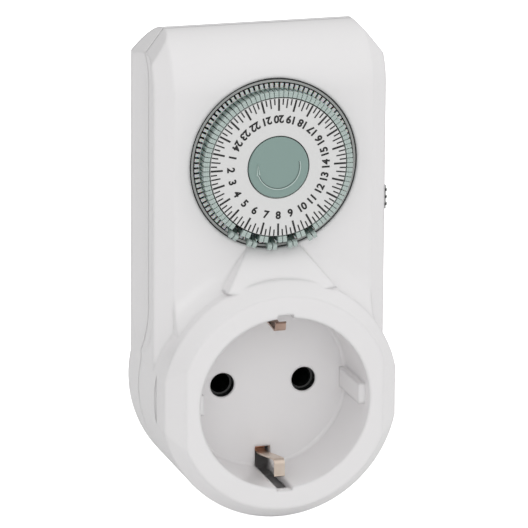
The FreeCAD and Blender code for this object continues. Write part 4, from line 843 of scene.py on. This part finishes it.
    def add_tappets(self) -> None:
        """Set the idle tappets round the rim and each set tappet, tilted outwards, on its own body."""
        quarter = 2 * math.pi / self.tappet_count
        phase = self.hour_angle(0.0) + quarter / 2
        set_quarters = [q for q in range(self.first_set, self.last_set + 1) if q % 4 >= 2]
        parts = (
            ("heads", self.head_outline(), self.head_half, FINISHES[Slot.TAPPET]),
            ("feet", self.foot_outline(), self.foot_half, FEET),
        )
        for part, outline, half, finish in parts:
            pattern = object_from(f"tappet_{part}", self.tappet_shape(f"tappet_{part}", outline, half))
            material = self.wardrobe.of(finish)
            ring = grow(f"idle_tappet_{part}", tappet_ring_tree(), {
                "Count": self.tappet_count, "Phase": phase, "Radius": self.pivot_radius,
                "Centre": (self.centre.x, self.pivot_y, self.centre.z), "Tappet": pattern,
                "First Set": float(self.first_set), "Last Set": float(self.last_set), "Material": material})
            settle(ring, Body.DIAL.value, finish, self.wardrobe, ["tappets"])
            for number, index in enumerate(set_quarters, 1):
                node = f"set_tappet_{number:02d}"
                mesh = pattern.data.copy()
                angle = phase + index * quarter
                place = ring_point(self.centre, self.pivot_radius, angle, self.pivot_y)
                mesh.transform(Matrix.Translation(place) @ Matrix.Rotation(-angle, 4, "Y")
                               @ Matrix.Rotation(self.tilt, 4, "X"))
                mesh.materials.append(material)
                settle(object_from(f"tilted_tappet_{part}_{number:02d}", mesh), node, finish, self.wardrobe, [node])
            bpy.data.objects.remove(pattern)


@dataclass
class Outlet:
    """The outlet's pin holes with painted shade inside, its rounded inner corner and its sprung earth clips."""

    wardrobe: Wardrobe
    mouth: float = 2.83 * MM
    throat: float = 2.44 * MM
    lining: float = 0.08 * MM
    lining_ahead: float = 2.5 * MM
    set_back: float = 0.5 * MM
    end_in: float = 0.2 * MM
    hub: float = 0.001 * MM
    taper: float = 0.05 * MM
    slot_half: float = 2.0 * MM
    floor_gap: float = 0.1 * MM
    corner_deep: float = 0.8 * MM
    skin: float = 0.02 * MM
    corner_stretches: int = 60
    clip_wide: float = 2.45 * MM
    clip_thick: float = 0.4 * MM
    curl: float = 1.0 * MM
    curl_depth: float = 5.2 * MM
    leg: float = 16.6 * MM
    flank_long: float = 1.6 * MM
    flank_out: float = 0.22 * MM
    lip: float = 0.3 * MM
    lip_rise: float = 0.25 * MM

    def build(self) -> None:
        """Fill both pin holes with painted shade, round the corner and bend both clips."""
        self.face_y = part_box("front_cover")[0].y
        self.add_linings()
        self.add_corner()
        self.add_clip("upper", 1, 15.4 * MM, 17.6 * MM, BROWN_SPRING)
        self.add_clip("lower", -1, 14.2 * MM, 18.1 * MM, SPRING)

    def add_linings(self) -> None:
        """Fill both pin holes with a black tube of painted shade."""
        for side, node in (("right", "contact_sleeve_live"), ("left", "contact_sleeve_neutral")):
            low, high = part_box(node)
            axis = (low + high) / 2
            start = low.y - self.lining_ahead + self.set_back
            end = high.y - self.end_in
            tube = bmesh.new()
            # A closed black tube down the hole and the sleeve: painted shade of the deep bore.
            lathe(tube, [
                (self.mouth, start), (self.mouth, low.y - 2 * self.taper), (self.throat, low.y - self.taper),
                (self.throat, end), (self.hub, end), (self.hub, end - self.lining),
                (self.throat - self.lining, end - self.lining), (self.throat - self.lining, low.y - 2 * self.taper),
                (self.mouth - self.lining, low.y - 4 * self.taper), (self.mouth - self.lining, start),
            ], axis, 48)
            settle(object_from(f"pin_hole_lining_{side}", mesh_from("lining", tube)), Body.HOUSING.value, PAINTED_SHADE,
                   self.wardrobe)

    def add_corner(self) -> None:
        """Round the corner between the recess's floor and its wall, apart from the two earth slots."""
        low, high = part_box("outlet_floor")
        radius, floor_y = (high.x - low.x) / 2 + self.floor_gap, low.y
        deep, skin = self.corner_deep, self.skin
        profile = [(radius, floor_y + skin), (radius - deep, floor_y + skin), (radius - deep, floor_y - skin)]
        for step in range(1, 8):
            turn = step / 8 * QUARTER_TURN
            profile.append((radius - deep * (1 - math.sin(turn)), floor_y - skin - deep * (1 - math.cos(turn))))
        profile.append((radius, floor_y - skin - deep))
        gap = math.asin(self.slot_half / radius)
        corner = bmesh.new()
        for start in (gap, math.pi + gap):
            arc(corner, profile, Vector((0.0, 0.0, 0.0)), start, start + math.pi - 2 * gap,
                self.corner_stretches)
        settle(object_from("recess_corner", mesh_from("recess_corner", corner, smooth=True)), Body.HOUSING.value,
               CORNER, self.wardrobe)

    def clip_route(self, node: str, crest: float, end: float) -> list[tuple[float, float]]:
        """Return a clip's middle line in Y and distance from the outlet's axis.

        Args:
            node: The CAD clip.
            crest: Distance of the curl's inner side from the axis.
            end: Distance of the curl's end from the axis.

        Returns:
            Its points, from the leg behind the floor to the curl's end.
        """
        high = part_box(node)[1]
        bend_y = self.face_y + self.curl_depth
        middle = crest + self.clip_thick / 2
        route = [(high.y, self.leg), (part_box("outlet_floor")[0].y, self.leg),
                 (bend_y + self.flank_long, middle + self.flank_out)]
        for step in range(9):
            turn = step / 8 * QUARTER_TURN
            route.append((bend_y - self.curl * math.sin(turn), middle + self.curl * (1 - math.cos(turn))))
        return route + [(bend_y - self.curl, end - self.lip), (bend_y - self.curl - self.lip_rise, end)]

    def add_clip(self, name: str, side: int, crest: float, end: float, finish: MetalFinish) -> None:
        """Bend one earth clip out of sheet.

        Args:
            name: Upper or lower.
            side: 1 above the axis, -1 below it.
            crest: Distance of its curl's inner side from the axis.
            end: Distance of its curl's end from the axis.
            finish: Its metal.
        """
        node = f"earth_clip_{name}"
        route = [Vector((y, side * z)) for y, z in self.clip_route(node, crest, end)]
        clip = bmesh.new()
        sections = []
        for i, here in enumerate(route):
            ahead = (route[min(i + 1, len(route) - 1)] - route[max(i - 1, 0)]).normalized()
            out = Vector((-ahead.y, ahead.x)) * self.clip_thick / 2
            half = self.clip_wide / 2
            sections.append([clip.verts.new((x, (here + off).x, (here + off).y))
                             for x, off in ((-half, out), (half, out), (half, -out), (-half, -out))])
        for before, after in zip(sections, sections[1:]):
            for j in range(4):
                k = (j + 1) % 4
                clip.faces.new((before[j], before[k], after[k], after[j]))
        clip.faces.new(sections[0][::-1])
        clip.faces.new(sections[-1])
        settle(object_from(f"sprung_clip_{name}", mesh_from(f"sprung_clip_{name}", clip)), Body.HOUSING.value,
               finish, self.wardrobe, [node])


@dataclass
class OverrideSlide:
    """The ribbed cap of the override slide, which lies over its window."""

    wardrobe: Wardrobe
    proud: float = 0.55 * MM
    ahead: float = 2.45 * MM
    ridge_half: float = 0.3 * MM
    ridge_places: tuple[float, float, float] = (0.2, 0.5, 0.8)
    base_share: float = 0.4
    sunk: float = 0.28 * MM
    end_in: float = 1.3 * MM
    behind_carrier: float = 2.5 * MM

    def build(self) -> None:
        """Put the cap and its three ridges on the slide."""
        low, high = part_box("override_slide")
        front_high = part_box("front_cover")[1]
        side = high.x - self.sunk
        ends = (low.z + self.end_in, high.z - self.end_in)
        cap = bmesh.new()
        middle_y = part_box("tappet_carrier")[1].y + self.behind_carrier
        blocks = [(side, side + self.proud * self.base_share, ends[0], ends[1])]
        for share in self.ridge_places:
            z = ends[0] + (ends[1] - ends[0]) * share
            blocks.append((side, min(side + self.proud, front_high.x), z - self.ridge_half, z + self.ridge_half))
        for x0, x1, z0, z1 in blocks:
            size = Vector((x1 - x0, 2 * self.ahead, z1 - z0))
            place = Vector(((x0 + x1) / 2, middle_y, (z0 + z1) / 2))
            bmesh.ops.create_cube(cap, size=1.0, matrix=Matrix.Translation(place) @ Matrix.Diagonal((*size, 1.0)))
        # The ridges take the rim's grey: partly the slide's own grey, partly painted shade at its edge.
        settle(object_from("slide_ridges", mesh_from("slide_ridges", cap)), "override_slide", RIM_GREY_AND_SHADE, self.wardrobe)


@dataclass
class Studio:
    """Pale floor, soft light and the camera at the photograph's angle."""

    wardrobe: Wardrobe
    distance: float = 1.2
    yaw: float = 0.289411
    pitch: float = 0.26289
    roll: float = -0.006943
    pixels_per_metre: float = 4471.358
    frame_px: int = 528
    outlet_px: tuple[float, float] = (272.0838, 390.7720)
    opening_y: float = -0.039
    sensor: float = 36.0
    floor_z: float = -0.0285
    room_light: float = 0.53
    room_lean: tuple[float, float, float] = (0.13, -0.24, 0.33)
    seen_white: float = 1.1
    key_power: float = 1.3
    key_size: float = 0.6
    key_place: tuple[float, float, float] = (-0.45, -1.1, 0.55)
    key_aim: tuple[float, float, float] = (0.0, -0.03, 0.03)
    floor_half: float = 12.0
    floor_grey: float = 0.93
    floor_roughness: float = 0.9
    near: float = 0.05
    far: float = 50.0

    def build(self) -> None:
        """Make floor, lights, surroundings and camera."""
        self.add_floor()
        self.add_lights()
        self.add_camera()

    def add_floor(self) -> None:
        """Lay a large pale floor."""
        shape = bmesh.new()
        bmesh.ops.create_grid(shape, x_segments=1, y_segments=1, size=self.floor_half)
        bmesh.ops.translate(shape, verts=shape.verts, vec=(0, 0, self.floor_z))
        mesh = bpy.data.meshes.new("floor")
        shape.to_mesh(mesh)
        shape.free()
        floor = object_from("floor", mesh)
        graph, shader = start_material("pale_floor")
        shader.inputs["Base Color"].default_value = (*(self.floor_grey,) * 3, 1.0)
        shader.inputs["Roughness"].default_value = self.floor_roughness
        shader.inputs["Emission Color"].default_value = (1.0, 1.0, 1.0, 1.0)
        seen = graph.math("MULTIPLY", graph.add("ShaderNodeLightPath").outputs["Is Camera Ray"], self.seen_white)
        graph.link(seen, shader, "Emission Strength")
        floor.data.materials.append(bpy.data.materials["pale_floor"])

    def add_lights(self) -> None:
        """Hang a soft lamp and set the white surroundings, which are brighter above and in front."""
        world = bpy.data.worlds.new("white_room")
        bpy.context.scene.world = world
        world.use_nodes = True
        graph = Graph(world.node_tree)
        backdrop = world.node_tree.nodes["Background"]
        backdrop.inputs[0].default_value = (1.0, 1.0, 1.0, 1.0)
        view = graph.add("ShaderNodeTexCoord").outputs["Generated"]
        lean = graph.add("ShaderNodeVectorMath", {0: view, 1: self.room_lean}, operation="DOT_PRODUCT")
        room = graph.math("ADD", lean.outputs["Value"], self.room_light)
        seen = graph.math("MULTIPLY", graph.add("ShaderNodeLightPath").outputs["Is Camera Ray"], self.seen_white)
        graph.link(graph.math("MAXIMUM", room, seen), backdrop, 1)
        bpy.context.scene.view_settings.view_transform = "Standard"
        lamp = bpy.data.lights.new("key_light", "AREA")
        lamp.shape = "SQUARE"
        lamp.size = self.key_size
        lamp.energy = self.key_power
        piece = bpy.data.objects.new("key_light", lamp)
        bpy.context.scene.collection.objects.link(piece)
        piece.location = self.key_place
        aim = Vector(self.key_aim) - piece.location
        piece.rotation_mode = "QUATERNION"
        piece.rotation_quaternion = aim.to_track_quat("-Z", "Y")

    def add_camera(self) -> None:
        """Put the camera where the photograph was taken from."""
        right = Vector((math.cos(self.yaw), -math.sin(self.yaw), 0.0))
        ahead = Vector((math.sin(self.yaw) * math.cos(self.pitch), math.cos(self.yaw) * math.cos(self.pitch),
                        -math.sin(self.pitch)))
        up = right.cross(ahead)
        cos_roll, sin_roll = math.cos(self.roll), math.sin(self.roll)
        image_x = cos_roll * right - sin_roll * up
        image_y = sin_roll * right + cos_roll * up
        middle = self.frame_px / 2
        across = (self.outlet_px[0] - middle) / self.pixels_per_metre
        above = (middle - self.outlet_px[1]) / self.pixels_per_metre
        place = -self.distance * ahead - across * image_x - above * image_y
        camera = bpy.data.cameras.new("camera")
        camera.sensor_width = self.sensor
        camera.lens = self.sensor * self.pixels_per_metre * self.distance / self.frame_px
        camera.clip_start, camera.clip_end = self.near, self.far
        piece = bpy.data.objects.new("camera", camera)
        bpy.context.scene.collection.objects.link(piece)
        turn = Matrix((image_x, image_y, -ahead)).transposed().to_4x4()
        piece.matrix_world = Matrix.Translation(place + Vector((0.0, self.opening_y, 0.0))) @ turn
        bpy.context.scene.camera = piece


def main() -> None:
    """Build and dress the object, then the studio."""
    logging.basicConfig(level=logging.INFO)
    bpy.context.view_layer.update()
    wardrobe = Wardrobe()
    Housing(wardrobe).dress()
    Dial(wardrobe).build()
    Outlet(wardrobe).build()
    OverrideSlide(wardrobe).build()
    Studio(wardrobe).build()


if __name__ == "__main__":
    main()
